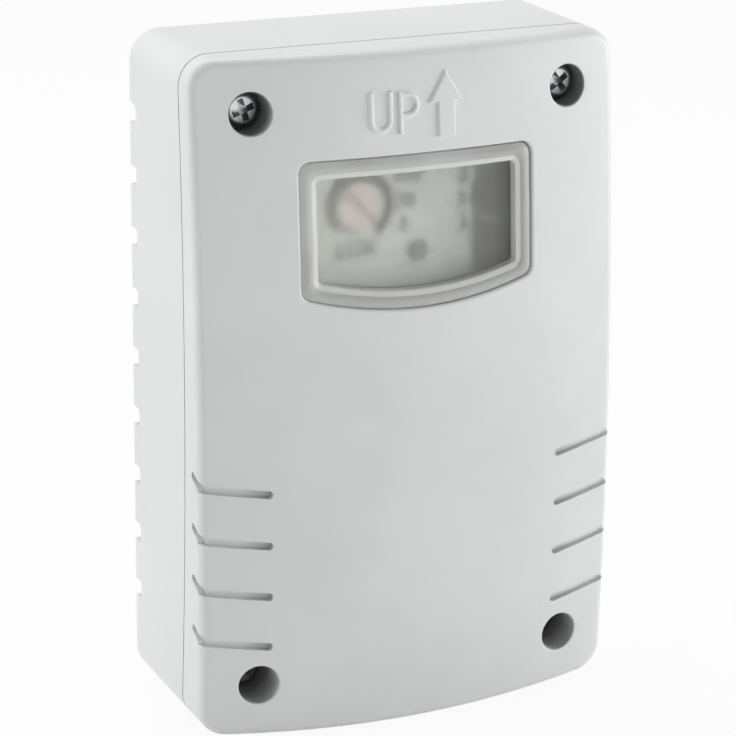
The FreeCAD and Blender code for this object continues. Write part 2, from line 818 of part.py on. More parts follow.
def circuit_board():
    board = block("board_plate", "-" + BOARD_HALF, BOARD_HALF, BOARD_FRONT, "board_rear", BOARD_LOW,
                  BOARD_TOP)
    soft = rounded("board_soft", board, "board_corner",
                   lambda box, whole: box.YLength > 1 and box.XLength < 0.01 and box.ZLength < 0.01)
    holes = []
    for index, (x, z) in enumerate(board_screw_places() + panel_screw_places()):
        holes.append(rod_to_front(f"board_hole_{index}", "small_shank_radius + small_play", x, z,
                                  "board_rear - 1", BOARD_FRONT + " + 1"))
    return cut("circuit_board", soft, *holes)


def control_panel():
    """A pale moulded plate with a rim, four legs on the board and holes for what shows through."""
    plate = block("panel_plate", PANEL_LEFT, PANEL_RIGHT, "panel_front", "panel_front - panel_rim_deep",
                  PANEL_LOW, PANEL_TOP)
    soft = rounded("panel_soft", plate, "panel_corner",
                   lambda box, whole: box.YLength > 1 and box.XLength < 0.01 and box.ZLength < 0.01)
    hollow = block("panel_hollow", PANEL_LEFT + " + panel_rim", PANEL_RIGHT + " - panel_rim",
                   "panel_front - panel_thick", "board_rear", PANEL_LOW + " + panel_rim",
                   PANEL_TOP + " - panel_rim")
    tray = cut("panel_tray", soft, hollow)
    legs = []
    leg_places = panel_screw_places()
    leg_places += [(x, PANEL_LOW + " + panel_leg_inset") for x, z in panel_screw_places()]
    for index, (x, z) in enumerate(leg_places):
        legs.append(rod_to_front(f"panel_leg_{index}", "panel_leg_radius", x, z,
                                 BOARD_FRONT, "panel_front - panel_thick / 2"))
    holes = []
    for index, (x, z) in enumerate(panel_screw_places()):
        holes.append(rod_to_front(f"panel_hole_{index}", "small_shank_radius + small_play", x, z,
                                  "board_rear", "panel_front + 1"))
    for tag, radius, x, z in (("lux", "dial_radius + dial_play", LUX_X, DIAL_LEVEL),
                              ("time", "dial_radius + dial_play", TIME_X, DIAL_LEVEL),
                              ("sensor", "sensor_radius + bulb_play", "sensor_offset", BULB_LEVEL),
                              ("lamp", "lamp_radius + bulb_play", "-lamp_offset", BULB_LEVEL)):
        holes.append(rod_to_front(f"panel_{tag}_hole", radius, x, z,
                                  "panel_front - panel_rim_deep", "panel_front + 1"))
    return cut("control_panel", fuse("panel_on_legs", tray, *legs), *holes)


# Adjusting dials and potentiometers

def potentiometer(name, x):
    """A square trimmer body on the board with a bore for the dial's shaft."""
    body = block(name + "_body", f"{x} - pot_side / 2", f"{x} + pot_side / 2", POT_FRONT, BOARD_FRONT,
                 DIAL_LEVEL + " - pot_side / 2", DIAL_LEVEL + " + pot_side / 2")
    soft = rounded(name + "_soft", body, "pot_corner",
                   lambda box, whole: box.YLength > 1 and box.XLength < 0.01 and box.ZLength < 0.01)
    bore = rod_to_front(name + "_bore", "pot_shaft_radius + pot_shaft_play", x, DIAL_LEVEL,
                        POT_FRONT + " - pot_bore_deep", POT_FRONT + " + 1")
    return cut(name, soft, bore)


def dial(name, x, turn):
    """A round dial with a driver slot and a pointer notch, turned about its own axis."""
    disc = rod_to_front(name + "_disc", "dial_radius", "0", "0", "0", "dial_front - dial_rear")
    domed = rounded(name + "_domed", disc, "dial_edge", at_front)
    shaft_end = "dial_rear - (" + POT_FRONT + " - pot_bore_deep) - pot_end_play"
    shaft = rod_to_front(name + "_shaft", "pot_shaft_radius", "0", "0", f"-({shaft_end})", "dial_edge")
    slot = block(name + "_slot", "-dial_slot_wide / 2", "dial_slot_wide / 2", "dial_front - dial_rear + 1",
                 "dial_front - dial_rear - dial_slot_deep", "-dial_radius * dial_slot_share",
                 "dial_radius * dial_slot_share")
    pointer = block(name + "_pointer", "-dial_slot_wide", "dial_slot_wide", "dial_front - dial_rear + 1",
                    "dial_front - dial_rear - dial_slot_deep",
                    "dial_radius * dial_slot_share - dial_slot_wide",
                    "dial_radius * dial_slot_share")
    made = cut(name, fuse(name + "_body", domed, shaft), slot, pointer)
    place(made, x, "-dial_rear", DIAL_LEVEL, FreeCAD.Rotation(FreeCAD.Vector(0, 1, 0), 1))
    made.setExpression(".Placement.Rotation.Angle", cells(turn))
    return made


# Light sensor and indicator lamp

def bulb(name, radius, x, front):
    """A small domed lamp or sensor body with a flange, on two leads that end in the board."""
    z = BULB_LEVEL
    flange_front = SPACER_FRONT + " + bulb_flange"
    flange = rod_to_front(name + "_flange", "bulb_flange_radius", x, z, SPACER_FRONT, flange_front)
    stem = rod_to_front(name + "_stem", radius, x, z, SPACER_FRONT, f"{front} - {radius}")
    dome = doc.addObject("Part::Sphere", name + "_dome")
    tie(dome, Radius=radius)
    place(dome, x, f"-({front} - {radius})", z)
    leads = []
    for side in (-1, 1):
        leads.append(rod_to_front(f"{name}_lead_{'left' if side < 0 else 'right'}", "lead_radius",
                                  f"{x} + {side} * bulb_lead_span / 2", z, BOARD_FRONT, flange_front))
    return fuse(name, flange, stem, dome, *leads)


def spacer(name, x):
    """A tube that holds a bulb's flange off the board."""
    z = BULB_LEVEL
    tube = rod_to_front(name + "_tube", "spacer_radius", x, z, BOARD_FRONT, SPACER_FRONT)
    bore = rod_to_front(name + "_bore", "bulb_lead_span / 2 + lead_radius + small_play", x, z,
                        "board_rear", SPACER_FRONT + " + 1")
    return cut(name, tube, bore)


# Power supply

def soft_box(name, left, wide, low, tall, deep, corner):
    """A moulded component case that stands on the board, with rounded upright edges and front."""
    case = block(name + "_case", left, f"{left} + {wide}", f"{BOARD_FRONT} + {deep}", BOARD_FRONT,
                 low, f"{low} + {tall}")
    made = rounded(name, case, corner, lambda box, whole: box.YMin < whole.YMin + 0.05)
    return made


def smoothing_capacitor():
    """An upright can with a rounded top and a rolled neck near the board."""
    level = BOARD_LOW + " + can_rise"
    can = rod_to_front("can_body", "can_radius", "-can_offset", level, BOARD_FRONT,
                       BOARD_FRONT + " + can_deep")
    domed = rounded("can_domed", can, "can_round", at_front)
    groove = doc.addObject("Part::Torus", "can_groove")
    tie(groove, Radius1="can_radius + can_groove / 2", Radius2="can_groove")
    place(groove, "-can_offset", f"-({BOARD_FRONT} + can_neck)", level, TO_FRONT)
    return cut("smoothing_capacitor", domed, groove)


def varistor():
    """A coated disc that stands on two leads."""
    level = BOARD_LOW + " + varistor_rise"
    disc = doc.addObject("Part::Cylinder", "varistor_disc")
    tie(disc, Radius="varistor_radius", Height="varistor_thick")
    place(disc, "varistor_offset", f"-({BOARD_FRONT} + varistor_lift + varistor_radius)",
          f"{level} - varistor_thick / 2")
    soft = rounded("varistor_soft", disc, "varistor_round", lambda box, whole: box.ZLength < 0.01)
    leads = []
    for side in (-1, 1):
        leads.append(rod_to_front(f"varistor_lead_{'left' if side < 0 else 'right'}", "lead_radius",
                                  f"varistor_offset + {side} * varistor_radius / 2", level,
                                  BOARD_FRONT, f"{BOARD_FRONT} + varistor_lift + varistor_radius / 2"))
    return fuse("varistor", soft, *leads)


def fuse_link():
    """A glass tube with a metal cap on each end, upright beside the relay."""
    depth = BOARD_FRONT + " + fuse_lift"
    tube = rod_upward("fuse_tube", "fuse_radius", FUSE_X, depth, FUSE_LOW + " + 1",
                      FUSE_LOW + " + fuse_length - 1")
    caps = [rod_upward("fuse_cap_low", "fuse_cap_radius", FUSE_X, depth, FUSE_LOW,
                       FUSE_LOW + " + fuse_cap"),
            rod_upward("fuse_cap_high", "fuse_cap_radius", FUSE_X, depth,
                       FUSE_LOW + " + fuse_length - fuse_cap", FUSE_LOW + " + fuse_length")]
    return fuse("fuse", tube, *caps)


def fuse_clips():
    """Two sprung clips: each a foot on the board and a cradle round the fuse's cap."""
    clips = []
    depth = BOARD_FRONT + " + fuse_lift"
    for tag, middle in (("low", FUSE_LOW + " + fuse_cap / 2"),
                        ("high", FUSE_LOW + " + fuse_length - fuse_cap / 2")):
        low = f"{middle} - clip_tall / 2"
        high = f"{middle} + clip_tall / 2"
        outer = "(fuse_cap_radius + clip_thick)"
        barrel = rod_upward(f"clip_barrel_{tag}", outer, FUSE_X, depth, low, high)
        foot = block(f"clip_foot_{tag}", f"{FUSE_X} - {outer}", f"{FUSE_X} + {outer}",
                     f"{depth} - fuse_cap_radius / 2", BOARD_FRONT, low, high)
        inside = rod_upward(f"clip_inside_{tag}", "fuse_cap_radius", FUSE_X, depth, FUSE_LOW + " - 1",
                            FUSE_LOW + " + fuse_length + 1")
        mouth = block(f"clip_mouth_{tag}", FUSE_X + " - 2 * fuse_radius", FUSE_X + " + 2 * fuse_radius",
                      f"{depth} + 3 * fuse_radius", f"{depth} + clip_reach", FUSE_LOW + " - 1",
                      FUSE_LOW + " + fuse_length + 1")
        under = block(f"clip_under_{tag}", FUSE_X + " - fuse_cap_radius", FUSE_X + " + fuse_cap_radius",
                      f"{depth} - fuse_cap_radius / 2", f"{BOARD_FRONT} + clip_thick", FUSE_LOW + " - 1",
                      FUSE_LOW + " + fuse_length + 1")
        clips.append(cut(f"clip_{tag}", fuse(f"clip_solid_{tag}", barrel, foot), inside, mouth, under))
    return group("fuse_clips", clips)


def axial_parts(name, count, first, pitch, level, length, radius):
    """A row of axial parts, each on the board with its two leads bent down into it."""
    parts = []
    for index in range(count):
        x = f"{first} + {index} * {pitch}"
        depth = f"{BOARD_FRONT} + {radius} + axial_lift"
        barrel = rod_upward(f"{name}_barrel_{index}", radius, x, depth, f"{level} - {length} / 2",
                            f"{level} + {length} / 2")
        wire = rod_upward(f"{name}_wire_{index}", "lead_radius", x, depth,
                          f"{level} - {length} / 2 - lead_run", f"{level} + {length} / 2 + lead_run")
        bends = []
        for side in (-1, 1):
            z = f"{level} + {side} * ({length} / 2 + lead_run)"
            bends.append(rod_to_front(f"{name}_bend_{index}_{'low' if side < 0 else 'high'}", "lead_radius",
                                      x, z, BOARD_FRONT, f"{depth} + lead_radius"))
        parts.append(fuse(f"{name}_{index}", barrel, wire, *bends))
    return group(name, parts)


# Control circuit under the panel

def control_chip():
    """A dual in-line package with its legs down the two long sides and a notch at one end."""
    level = PANEL_TOP + " - chip_drop"
    low = level + " - chip_wide / 2"
    high = level + " + chip_wide / 2"
    front = BOARD_FRONT + " + chip_stand + chip_deep"
    case = block("chip_case", "chip_offset - chip_long / 2", "chip_offset + chip_long / 2",
                 front, BOARD_FRONT + " + chip_stand", low, high)
    notch = rod_to_front("chip_notch", "chip_leg_wide", "chip_offset - chip_long / 2", level,
                         f"{front} - chip_leg_wide", f"{front} + 1")
    legs = []
    for index in range(CHIP_LEGS_A_SIDE):
        x = f"chip_offset + {index - (CHIP_LEGS_A_SIDE - 1) / 2} * chip_leg_pitch"
        shoulder = BOARD_FRONT + " + chip_stand + chip_deep / 2"
        for tag, inner, outer in (("low", f"{low} - chip_leg_out", f"{low} + chip_leg_out"),
                                  ("high", f"{high} - chip_leg_out", f"{high} + chip_leg_out")):
            legs.append(block(f"chip_leg_{tag}_{index}", f"{x} - chip_leg_wide / 2",
                              f"{x} + chip_leg_wide / 2",
                              f"{shoulder} + chip_leg_thick", shoulder, inner, outer))
            tip = f"{low} - chip_leg_out" if tag == "low" else f"{high} + chip_leg_out - chip_leg_thick"
            legs.append(block(f"chip_foot_{tag}_{index}", f"{x} - chip_leg_wide / 2",
                              f"{x} + chip_leg_wide / 2",
                              shoulder + " + chip_leg_thick", BOARD_FRONT, tip, f"{tip} + chip_leg_thick"))
    return fuse("control_chip", cut("chip_body", case, notch), *legs)


def driver_transistor():
    """A small half-round case on three leads."""
    rear = BOARD_FRONT + " + transistor_lift"
    level = PANEL_TOP + " - transistor_drop"
    barrel = rod_to_front("transistor_barrel", "transistor_radius", "-transistor_offset", level,
                          rear, rear + " + transistor_deep")
    flat = block("transistor_flat", "-transistor_offset - 2 * transistor_radius",
                 "-transistor_offset + 2 * transistor_radius", rear + " + transistor_deep + 1",
                 rear + " - 1",
                 level + " + transistor_flat_level", level + " + 2 * transistor_radius")
    leads = []
    for index in range(-1, 2):
        leads.append(rod_to_front(f"transistor_lead_{index + 1}", "lead_radius",
                                  f"-transistor_offset + {index} * transistor_lead_pitch", level,
                                  BOARD_FRONT, rear + " + transistor_deep / 2"))
    return fuse("driver_transistor", cut("transistor_case", barrel, flat), *leads)


# Terminal block

POLE_PLACES = [f"{count - (POLES - 1) / 2} * pole_pitch" for count in range(POLES)]
POLE_SCREW_Z = BLOCK_LOW + " + pole_screw_rise"
CAGE_REAR = BOARD_FRONT + " + pole_rear"
CAGE_FRONT = BOARD_FRONT + " + pole_rear + pole_deep - cage_play"


def terminal_block():
    """A stepped moulding with a wire chamber and a screw well for each pole."""
    body = block("block_body", "-block_half_width", "block_half_width", BOARD_FRONT + " + block_deep",
                 BOARD_FRONT, BLOCK_LOW, BLOCK_LOW + " + block_tall")
    step = block("block_step", "-block_half_width - 1", "block_half_width + 1",
                 BOARD_FRONT + " + block_deep + 1",
                 BOARD_FRONT + " + block_deep - block_step_deep",
                 BLOCK_LOW + " + block_tall - block_step_tall",
                 BLOCK_LOW + " + block_tall + 1")
    tools = [step]
    for index, x in enumerate(POLE_PLACES):
        tools.append(block(f"pole_chamber_{index}", f"{x} - pole_half_width", f"{x} + pole_half_width",
                           CAGE_REAR + " + pole_deep", CAGE_REAR, BLOCK_LOW + " - 1",
                           BLOCK_LOW + " + pole_tall"))
        tools.append(rod_to_front(f"pole_well_{index}", "pole_well_radius", x, POLE_SCREW_Z,
                                  CAGE_REAR, BOARD_FRONT + " + block_deep + 1"))
    return cut("terminal_block", body, *tools)


def terminal_clamps():
    """A square metal cage in each chamber, open for the wire, with a thick top for the screw."""
    cages = []
    for index, x in enumerate(POLE_PLACES):
        low = BLOCK_LOW + " + cage_inset"
        high = BLOCK_LOW + " + cage_inset + cage_tall"
        outer = block(f"cage_outer_{index}", f"{x} - cage_half_width", f"{x} + cage_half_width",
                      CAGE_FRONT, CAGE_REAR, low, high)
        inner = block(f"cage_inner_{index}", f"{x} - cage_half_width + cage_wall",
                      f"{x} + cage_half_width - cage_wall",
                      CAGE_FRONT + " - cage_top", CAGE_REAR + " + cage_wall", low + " - 1", high + " + 1")
        hole = rod_to_front(f"cage_hole_{index}", "cage_screw_radius + small_play", x, POLE_SCREW_Z,
                            CAGE_FRONT + " - cage_top - 1", CAGE_FRONT + " + 1")
        cages.append(cut(f"cage_{index}", outer, inner, hole))
    return group("terminal_clamps", cages)


def terminal_screws():
    """Slotted screws that press the wires down in their cages."""
    head = rod_to_front("terminal_head", "cage_screw_head_radius", "0", "0", "0", "cage_screw_head")
    shank = rod_to_front("terminal_shank", "cage_screw_radius", "0", "0", "-cage_screw_length",
                         "cage_screw_head / 2")
    slot = block("terminal_slot", "-2 * cage_screw_head_radius", "2 * cage_screw_head_radius",
                 "cage_screw_head + 1", "cage_screw_head - driver_slot_deep",
                 "-driver_slot_wide / 2", "driver_slot_wide / 2")
    master = cut("terminal_screw", fuse("terminal_screw_body", head, shank), slot)
    return copies("terminal_screws", master, [(x, POLE_SCREW_Z) for x in POLE_PLACES], CAGE_FRONT)


# Cable entries

def cable_grommet(name, side):
    """A stepped rubber ring that snaps into a cable entry: outer flange, neck and inner lip."""
    x = signed(side, "entry_offset")
    flange = rod_upward(name + "_flange", "grommet_flange_radius", x, "entry_depth",
                        ENTRY_SEAT + " - grommet_flange", ENTRY_SEAT)
    neck = rod_upward(name + "_neck", "entry_radius - grommet_play", x, "entry_depth", ENTRY_SEAT,
                      ENTRY_TOP)
    lip = doc.addObject("Part::Cone", name + "_lip")
    tie(lip, Radius1="grommet_lip_radius", Radius2="entry_radius - grommet_play", Height="grommet_lip")
    place(lip, x, "-entry_depth", ENTRY_TOP)
    bore = rod_upward(name + "_bore", "cable_radius", x, "entry_depth",
                      ENTRY_SEAT + " - grommet_flange - 1",
                      ENTRY_TOP + " + grommet_lip + 1")
    return cut(name, fuse(name + "_solid", flange, neck, lip), bore)


def cable_clamp(name, side):
    """A saddle over the cable, hollowed under its middle, with a screw hole at each end."""
    x = signed(side, "entry_offset")
    end = "clamp_half_span + clamp_post_radius"
    bar = block(name + "_bar", f"{x} - ({end})", f"{x} + {end}", "clamp_seat + clamp_thick", "clamp_seat",
                CLAMP_LEVEL + " - clamp_tall / 2", CLAMP_LEVEL + " + clamp_tall / 2")
    soft = rounded(name + "_soft", bar, "clamp_corner",
                   lambda box, whole: box.YLength > 1 and box.XLength < 0.01 and box.ZLength < 0.01)
    hollow = rod_upward(name + "_hollow", "cable_radius", x, "clamp_seat + clamp_hollow - cable_radius",
                        CLAMP_LEVEL + " - clamp_tall", CLAMP_LEVEL + " + clamp_tall")
    holes = []
    for tag, offset in (("left", "-clamp_half_span"), ("right", "clamp_half_span")):
        holes.append(rod_to_front(f"{name}_hole_{tag}", "small_shank_radius + small_play",
                                  f"{x} + {offset}",
                                  CLAMP_LEVEL, "clamp_seat - 1", "clamp_seat + clamp_thick + 1"))
    return cut(name, soft, hollow, *holes)


# The whole switch

housing = rear_housing()
cover = front_cover()
lens = window_lens()
seal = cover_seal()
board_screw = small_screw("board_screw", "small_length")
panel_screw = small_screw("panel_screw", "panel_front - board_rear + stud_bite")
clamp_screw = small_screw("clamp_screw", "clamp_thick + small_length")

NODES = [
    housing,
    cover,
    lens,
    seal,
    cover_screws(),
    cable_grommet("left_cable_grommet", -1),
    cable_grommet("right_cable_grommet", 1),
    cable_clamp("left_cable_clamp", -1),
    cable_clamp("right_cable_clamp", 1),
    copies("clamp_screws", clamp_screw, clamp_screw_places(), "clamp_seat + clamp_thick"),
    circuit_board(),
    copies("board_screws", board_screw, board_screw_places(), BOARD_FRONT),
    control_panel(),
    copies("panel_screws", panel_screw, panel_screw_places(), "panel_front"),
    dial("lux_dial", LUX_X, "lux_turn"),
    potentiometer("lux_potentiometer", LUX_X),
    dial("time_dial", TIME_X, "time_turn"),
    potentiometer("time_potentiometer", TIME_X),
    bulb("light_sensor", "sensor_radius", "sensor_offset", "sensor_front"),
    spacer("sensor_spacer", "sensor_offset"),
    bulb("indicator_lamp", "lamp_radius", "-lamp_offset", "lamp_front"),
    spacer("lamp_spacer", "-lamp_offset"),
    soft_box("relay", f"relay_gap - {BOARD_HALF}", "relay_wide", BOARD_LOW + " + relay_rise", "relay_tall",
             "relay_deep", "relay_round"),
    soft_box("dropper_capacitor", "-dropper_wide / 2", "dropper_wide", BOARD_LOW + " + dropper_rise",
             "dropper_tall", "dropper_deep", "dropper_round"),
    smoothing_capacitor(),
    varistor(),
    fuse_link(),
    fuse_clips(),
    axial_parts("rectifier_diodes", DIODES, FUSE_X + " - diode_run", "diode_pitch",
                BOARD_LOW + " + diode_rise",
                "diode_length", "diode_radius"),
    axial_parts("resistors", RESISTORS, FUSE_X + " - resistor_run", "resistor_pitch",
                BOARD_LOW + " + resistor_rise", "resistor_length", "resistor_radius"),
    control_chip(),
    driver_transistor(),
    terminal_block(),
    terminal_clamps(),
    terminal_screws(),
]

doc.recompute()
for item in doc.Objects:
    if "Invalid" in item.State or "Error" in item.State:
        raise RuntimeError(f"{item.Label} failed: {item.State}")
for item in NODES:
    if item.Shape.isNull() or not item.Shape.isValid() or not item.Shape.Solids:
        raise RuntimeError(f"{item.Label} is not a valid solid")
for item in NODES:
    item.Shape.exportStep(f"parts/{item.Label}.step")
    print(item.Label, len(item.Shape.Solids), round(item.Shape.Volume, 1))
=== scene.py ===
import math

import bmesh
import bpy
import numpy as np
from mathutils import Matrix, Vector


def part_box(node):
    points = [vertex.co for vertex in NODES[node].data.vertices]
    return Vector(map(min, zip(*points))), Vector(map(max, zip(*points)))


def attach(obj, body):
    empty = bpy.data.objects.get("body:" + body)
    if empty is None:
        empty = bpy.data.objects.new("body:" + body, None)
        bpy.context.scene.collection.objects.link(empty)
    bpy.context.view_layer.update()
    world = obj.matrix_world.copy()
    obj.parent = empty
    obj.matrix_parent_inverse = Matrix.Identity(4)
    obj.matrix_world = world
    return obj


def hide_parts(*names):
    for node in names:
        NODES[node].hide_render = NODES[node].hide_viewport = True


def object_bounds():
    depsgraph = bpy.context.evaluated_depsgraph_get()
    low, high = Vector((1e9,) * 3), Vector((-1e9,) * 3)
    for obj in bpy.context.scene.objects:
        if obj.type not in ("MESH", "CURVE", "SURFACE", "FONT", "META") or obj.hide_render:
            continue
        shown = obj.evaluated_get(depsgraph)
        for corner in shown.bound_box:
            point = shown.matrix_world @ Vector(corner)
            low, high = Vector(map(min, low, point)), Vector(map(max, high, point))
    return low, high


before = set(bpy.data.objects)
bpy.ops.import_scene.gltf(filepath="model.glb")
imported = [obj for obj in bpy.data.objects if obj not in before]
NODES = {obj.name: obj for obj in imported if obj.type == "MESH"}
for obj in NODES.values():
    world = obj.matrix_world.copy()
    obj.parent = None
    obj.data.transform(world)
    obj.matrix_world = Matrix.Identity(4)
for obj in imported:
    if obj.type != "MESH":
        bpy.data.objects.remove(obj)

BOX_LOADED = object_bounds()

bl_info = {
    "name": "Twilight switch",
    "version": (1, 0, 0),
    "blender": (4, 5, 0),
    "location": "3D View > Sidebar > Switch",
    "description": "Dresses the packed model of a surface mounted twilight switch",
    "category": "Object",
}

ACROSS, INWARDS, UPWARDS = 0, 1, 2  # coordinates of the frame: right, into the wall, up
WHITE = (1.0, 1.0, 1.0, 1.0)
MM = 0.001
SAME_POINT = 2e-7  # points of a node nearer than this are one
COVER_HEAD = 0.00275  # radius of a cover screw's head
DIAL_EDGE = 0.00465  # radius at which the print round a dial begins
# Parts side by side on the board: node, first place across, reach of the leads up and down, and
# half the width and height of the printed outline
ROWS = (("resistors", 0.0130, 0.0046, 0.00132, 0.0032),
        ("rectifier_diodes", 0.0126, 0.0041, 0.00138, 0.0027))
ROW_STEP, ROW_COUNT = 0.0029, 4


def centre_of(node):
    """The middle of a node's box."""
    low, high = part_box(node)
    return (low + high) / 2


# Sizes and colours that a user would change

def number(name, description, default, **more):
    return bpy.props.FloatProperty(name=name, description=description, default=default, **more)


def length(name, description, default, least=0.0):
    return number(name, description, default, unit="LENGTH", precision=5, min=least)


def angle(name, description, degrees):
    return number(name, description, math.radians(degrees), subtype="ANGLE")


def share(name, description, default):
    return number(name, description, default, min=0.0, max=1.0, subtype="FACTOR")


def power(name, description, default):
    return number(name, description, default, unit="POWER", min=0.0)


def colour(name, description, default):
    return bpy.props.FloatVectorProperty(name=name, description=description, default=default,
                                         size=3, min=0.0, max=1.0, subtype="COLOR")


class TwilightSwitchSizes(bpy.types.PropertyGroup):
    """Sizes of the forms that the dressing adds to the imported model."""

    face_plan_radius: length("Face radius in plan", "Arc of the cover's face from above", 0.160)
    face_side_radius: length("Face radius in side view", "Arc of the face from the side", 0.680)
    face_depth: length("Face depth", "How far the face's crest stands out of the wall", 0.033)
    face_crest: length("Crest level", "Level of the face's crest", -0.0276, least=-1.0)
    mark_height: length("Mark height", "How far the mark stands out of the cover", 0.00042)
    mark_stroke: length("Mark stroke", "Width of the letters' strokes", 0.00092)
    edge_soft: length("Soft edge", "Rounding of the window opening in the cover", 0.00045)
    well_soft: length("Well edge", "Rounding of the mouths of the screw wells", 0.00030)
    rim_crown: length("Rim crown", "How far the window's rim bulges", 0.00025)
    rim_bevel: length("Rim bevel", "Width of the slope from the rim down to the pane", 0.00095)
    screw_pitch: length("Thread pitch", "Rise of the screw threads in one turn", 0.00110)
    print_lift: length("Print thickness", "Thickness of the ink on the panel", 0.00004)
    track_lift: length("Track thickness", "How far the tracks stand off the board", 0.00005)
    camera_distance: length("Camera distance", "From the camera to its target", 0.45005)
    camera_azimuth: angle("Camera azimuth", "Turn of the view round the upright axis", -24.968)
    camera_elevation: angle("Camera elevation", "Height of the view over the horizon", 18.473)
    camera_roll: angle("Camera roll", "Tilt of the view", 0.801)


class TwilightSwitchColours(bpy.types.PropertyGroup):
    """Colours and light of the switch and its stage."""

    cover: colour("Cover", "Moulded cover and housing", (0.76, 0.765, 0.765))
    window: colour("Window", "Frosted window", (0.86, 0.872, 0.845))
    panel: colour("Panel", "Control panel behind the window", (0.80, 0.80, 0.785))
    ink: colour("Ink", "Print on the control panel", (0.03, 0.032, 0.032))
    light_dial: colour("Light dial", "Dial that sets the light level", (0.80, 0.70, 0.67))
    dark_dial: colour("Dark dial", "Dial that sets the running time", (0.045, 0.045, 0.05))
    rubber: colour("Rubber", "Seal and grommets", (0.075, 0.078, 0.08))
    zinc: colour("Zinc", "Plated screws", (0.56, 0.575, 0.59))
    tin: colour("Tin", "Tinned leads and solder", (0.72, 0.72, 0.70))
    laminate: colour("Laminate", "Coated face of the circuit board", (0.022, 0.125, 0.052))
    copper: colour("Copper", "Tracks under the board's coat", (0.05, 0.24, 0.09))
    legend: colour("Legend", "Outlines printed on the board", (0.82, 0.83, 0.80))
    floor: colour("Floor", "Floor under the switch", (0.9, 0.9, 0.9))
    ambient: share("Ambient light", "Level of the light from all round", 0.16)
    floor_glow: share("Floor evenness", "How far the floor is kept white for the camera", 0.93)
    side_lamp: power("Side lamp", "Power of the lamp on the left", 3.95)
    right_lamp: power("Right lamp", "Power of the lamp on the right", 3.45)
    top_lamp: power("Top lamp", "Power of the lamp overhead", 4.9)
    low_lamp: power("Low lamp", "Power of the lamp low in front", 1.08)


def sizes():
    return bpy.context.scene.twilight_sizes


def colours():
    return bpy.context.scene.twilight_colours


def shade(name):
    return tuple(getattr(colours(), name))


# Surfaces worked out as whole arrays

def grid_mesh(name, rows, closed=False, ends=True, rings=True):
    """A mesh over rows of points. Each face joins a point, its neighbour in the row, and the two
    points after them in the next row. A row is a closed ring unless rings is off. The last row
    joins the first if closed; otherwise the first and the last are capped if ends."""
    count, wide = rows.shape[:2]
    i, j = np.meshgrid(np.arange(count if closed else count - 1),
                       np.arange(wide if rings else wide - 1), indexing="ij")
    i2, j2 = (i + 1) % count, (j + 1) % wide
    corners = [i * wide + j, i * wide + j2, i2 * wide + j2, i2 * wide + j]
    faces = np.stack(corners, -1).reshape(-1, 4).tolist()
    if ends and not closed:
        faces += [list(range(wide))[::-1], list(range(wide * (count - 1), wide * count))]
    mesh = bpy.data.meshes.new(name)
    mesh.from_pydata(rows.reshape(-1, 3).tolist(), [], faces)
    mesh.update()
    return mesh


def object_of(name, data):
    made = bpy.data.objects.new(name, data)
    bpy.context.scene.collection.objects.link(made)
    return made


def merged(mesh, distance=1e-7, outwards=True):
    """Merges the points of a mesh that are nearer than a distance, and turns its faces outwards."""
    work = bmesh.new()
    work.from_mesh(mesh)
    bmesh.ops.remove_doubles(work, verts=work.verts, dist=distance)
    if outwards:
        bmesh.ops.dissolve_degenerate(work, edges=work.edges, dist=1e-8)
        bmesh.ops.recalc_face_normals(work, faces=work.faces)
    work.to_mesh(mesh)
    work.free()
    mesh.update()


def surface(name, rows, closed=False, ends=True, stuff=0):
    """An object over rows of points with its faces outwards. Stuff is the material's number, or a
    number for each face."""
    mesh = grid_mesh(name, rows, closed, ends)
    numbers = np.zeros(len(mesh.polygons), np.int32) + stuff
    mesh.polygons.foreach_set("material_index", numbers.astype(np.int32))
    merged(mesh)
    return object_of(name, mesh)


def smooth(mesh, degrees):
    """Shades a mesh smooth except where two faces meet at more than an angle."""
    mesh.shade_smooth()
    mesh.set_sharp_from_angle(angle=math.radians(degrees))


def soften(made, degrees):
    """Shades a piece smooth up to an angle, weighted by the size of its faces."""
    smooth(made.data, degrees)
    even = made.modifiers.new("Even shading", "WEIGHTED_NORMAL")
    even.keep_sharp, even.weight = True, 60


def combine(made, other, operation):
    """Cuts a closed form out of a piece or joins it on, and removes the form."""
    tool = made.modifiers.new("Combine", "BOOLEAN")
    tool.operation, tool.solver, tool.object = operation, "EXACT", other
    bpy.context.view_layer.update()
    graph = bpy.context.evaluated_depsgraph_get()
    fresh = bpy.data.meshes.new_from_object(made.evaluated_get(graph), depsgraph=graph,
                                            preserve_all_data_layers=True)
    old = made.data
    made.modifiers.clear()
    made.data = fresh
    bpy.data.meshes.remove(old)
    bpy.data.objects.remove(other)
    return made


def gathered(name, parts):
    """One object of several forms that stay clear of each other."""
    work = bmesh.new()
    for part in parts:
        data = part.data
        work.from_mesh(data)
        bpy.data.objects.remove(part)
        bpy.data.meshes.remove(data)
    mesh = bpy.data.meshes.new(name)
    work.to_mesh(mesh)
    work.free()
    return object_of(name, mesh)


def copied(node, name):
    """A copy of a node as a piece of its own, with its loose triangles joined."""
    mesh = NODES[node].data.copy()
    mesh.materials.clear()
    merged(mesh, SAME_POINT, outwards=False)
    if mesh.has_custom_normals:
        mesh.attributes.remove(mesh.attributes["custom_normal"])
    mesh.name = name
    return object_of(name, mesh)


def finish(made, body, materials, replaced=()):
    """Gives a finished piece its materials, its body and the nodes it stands for."""
    index = np.zeros(len(made.data.polygons), np.int32)
    made.data.polygons.foreach_get("material_index", index)
    made.data.materials.clear()
    for material in materials:
        made.data.materials.append(material)
    made.data.polygons.foreach_set("material_index", np.minimum(index, len(materials) - 1))
    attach(made, body)
    if replaced:
        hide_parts(*replaced)


def coat(made, material):
    """Finishes a thin coat or a print, which belongs to the housing and stands for no node."""
    finish(made, "housing", [material])


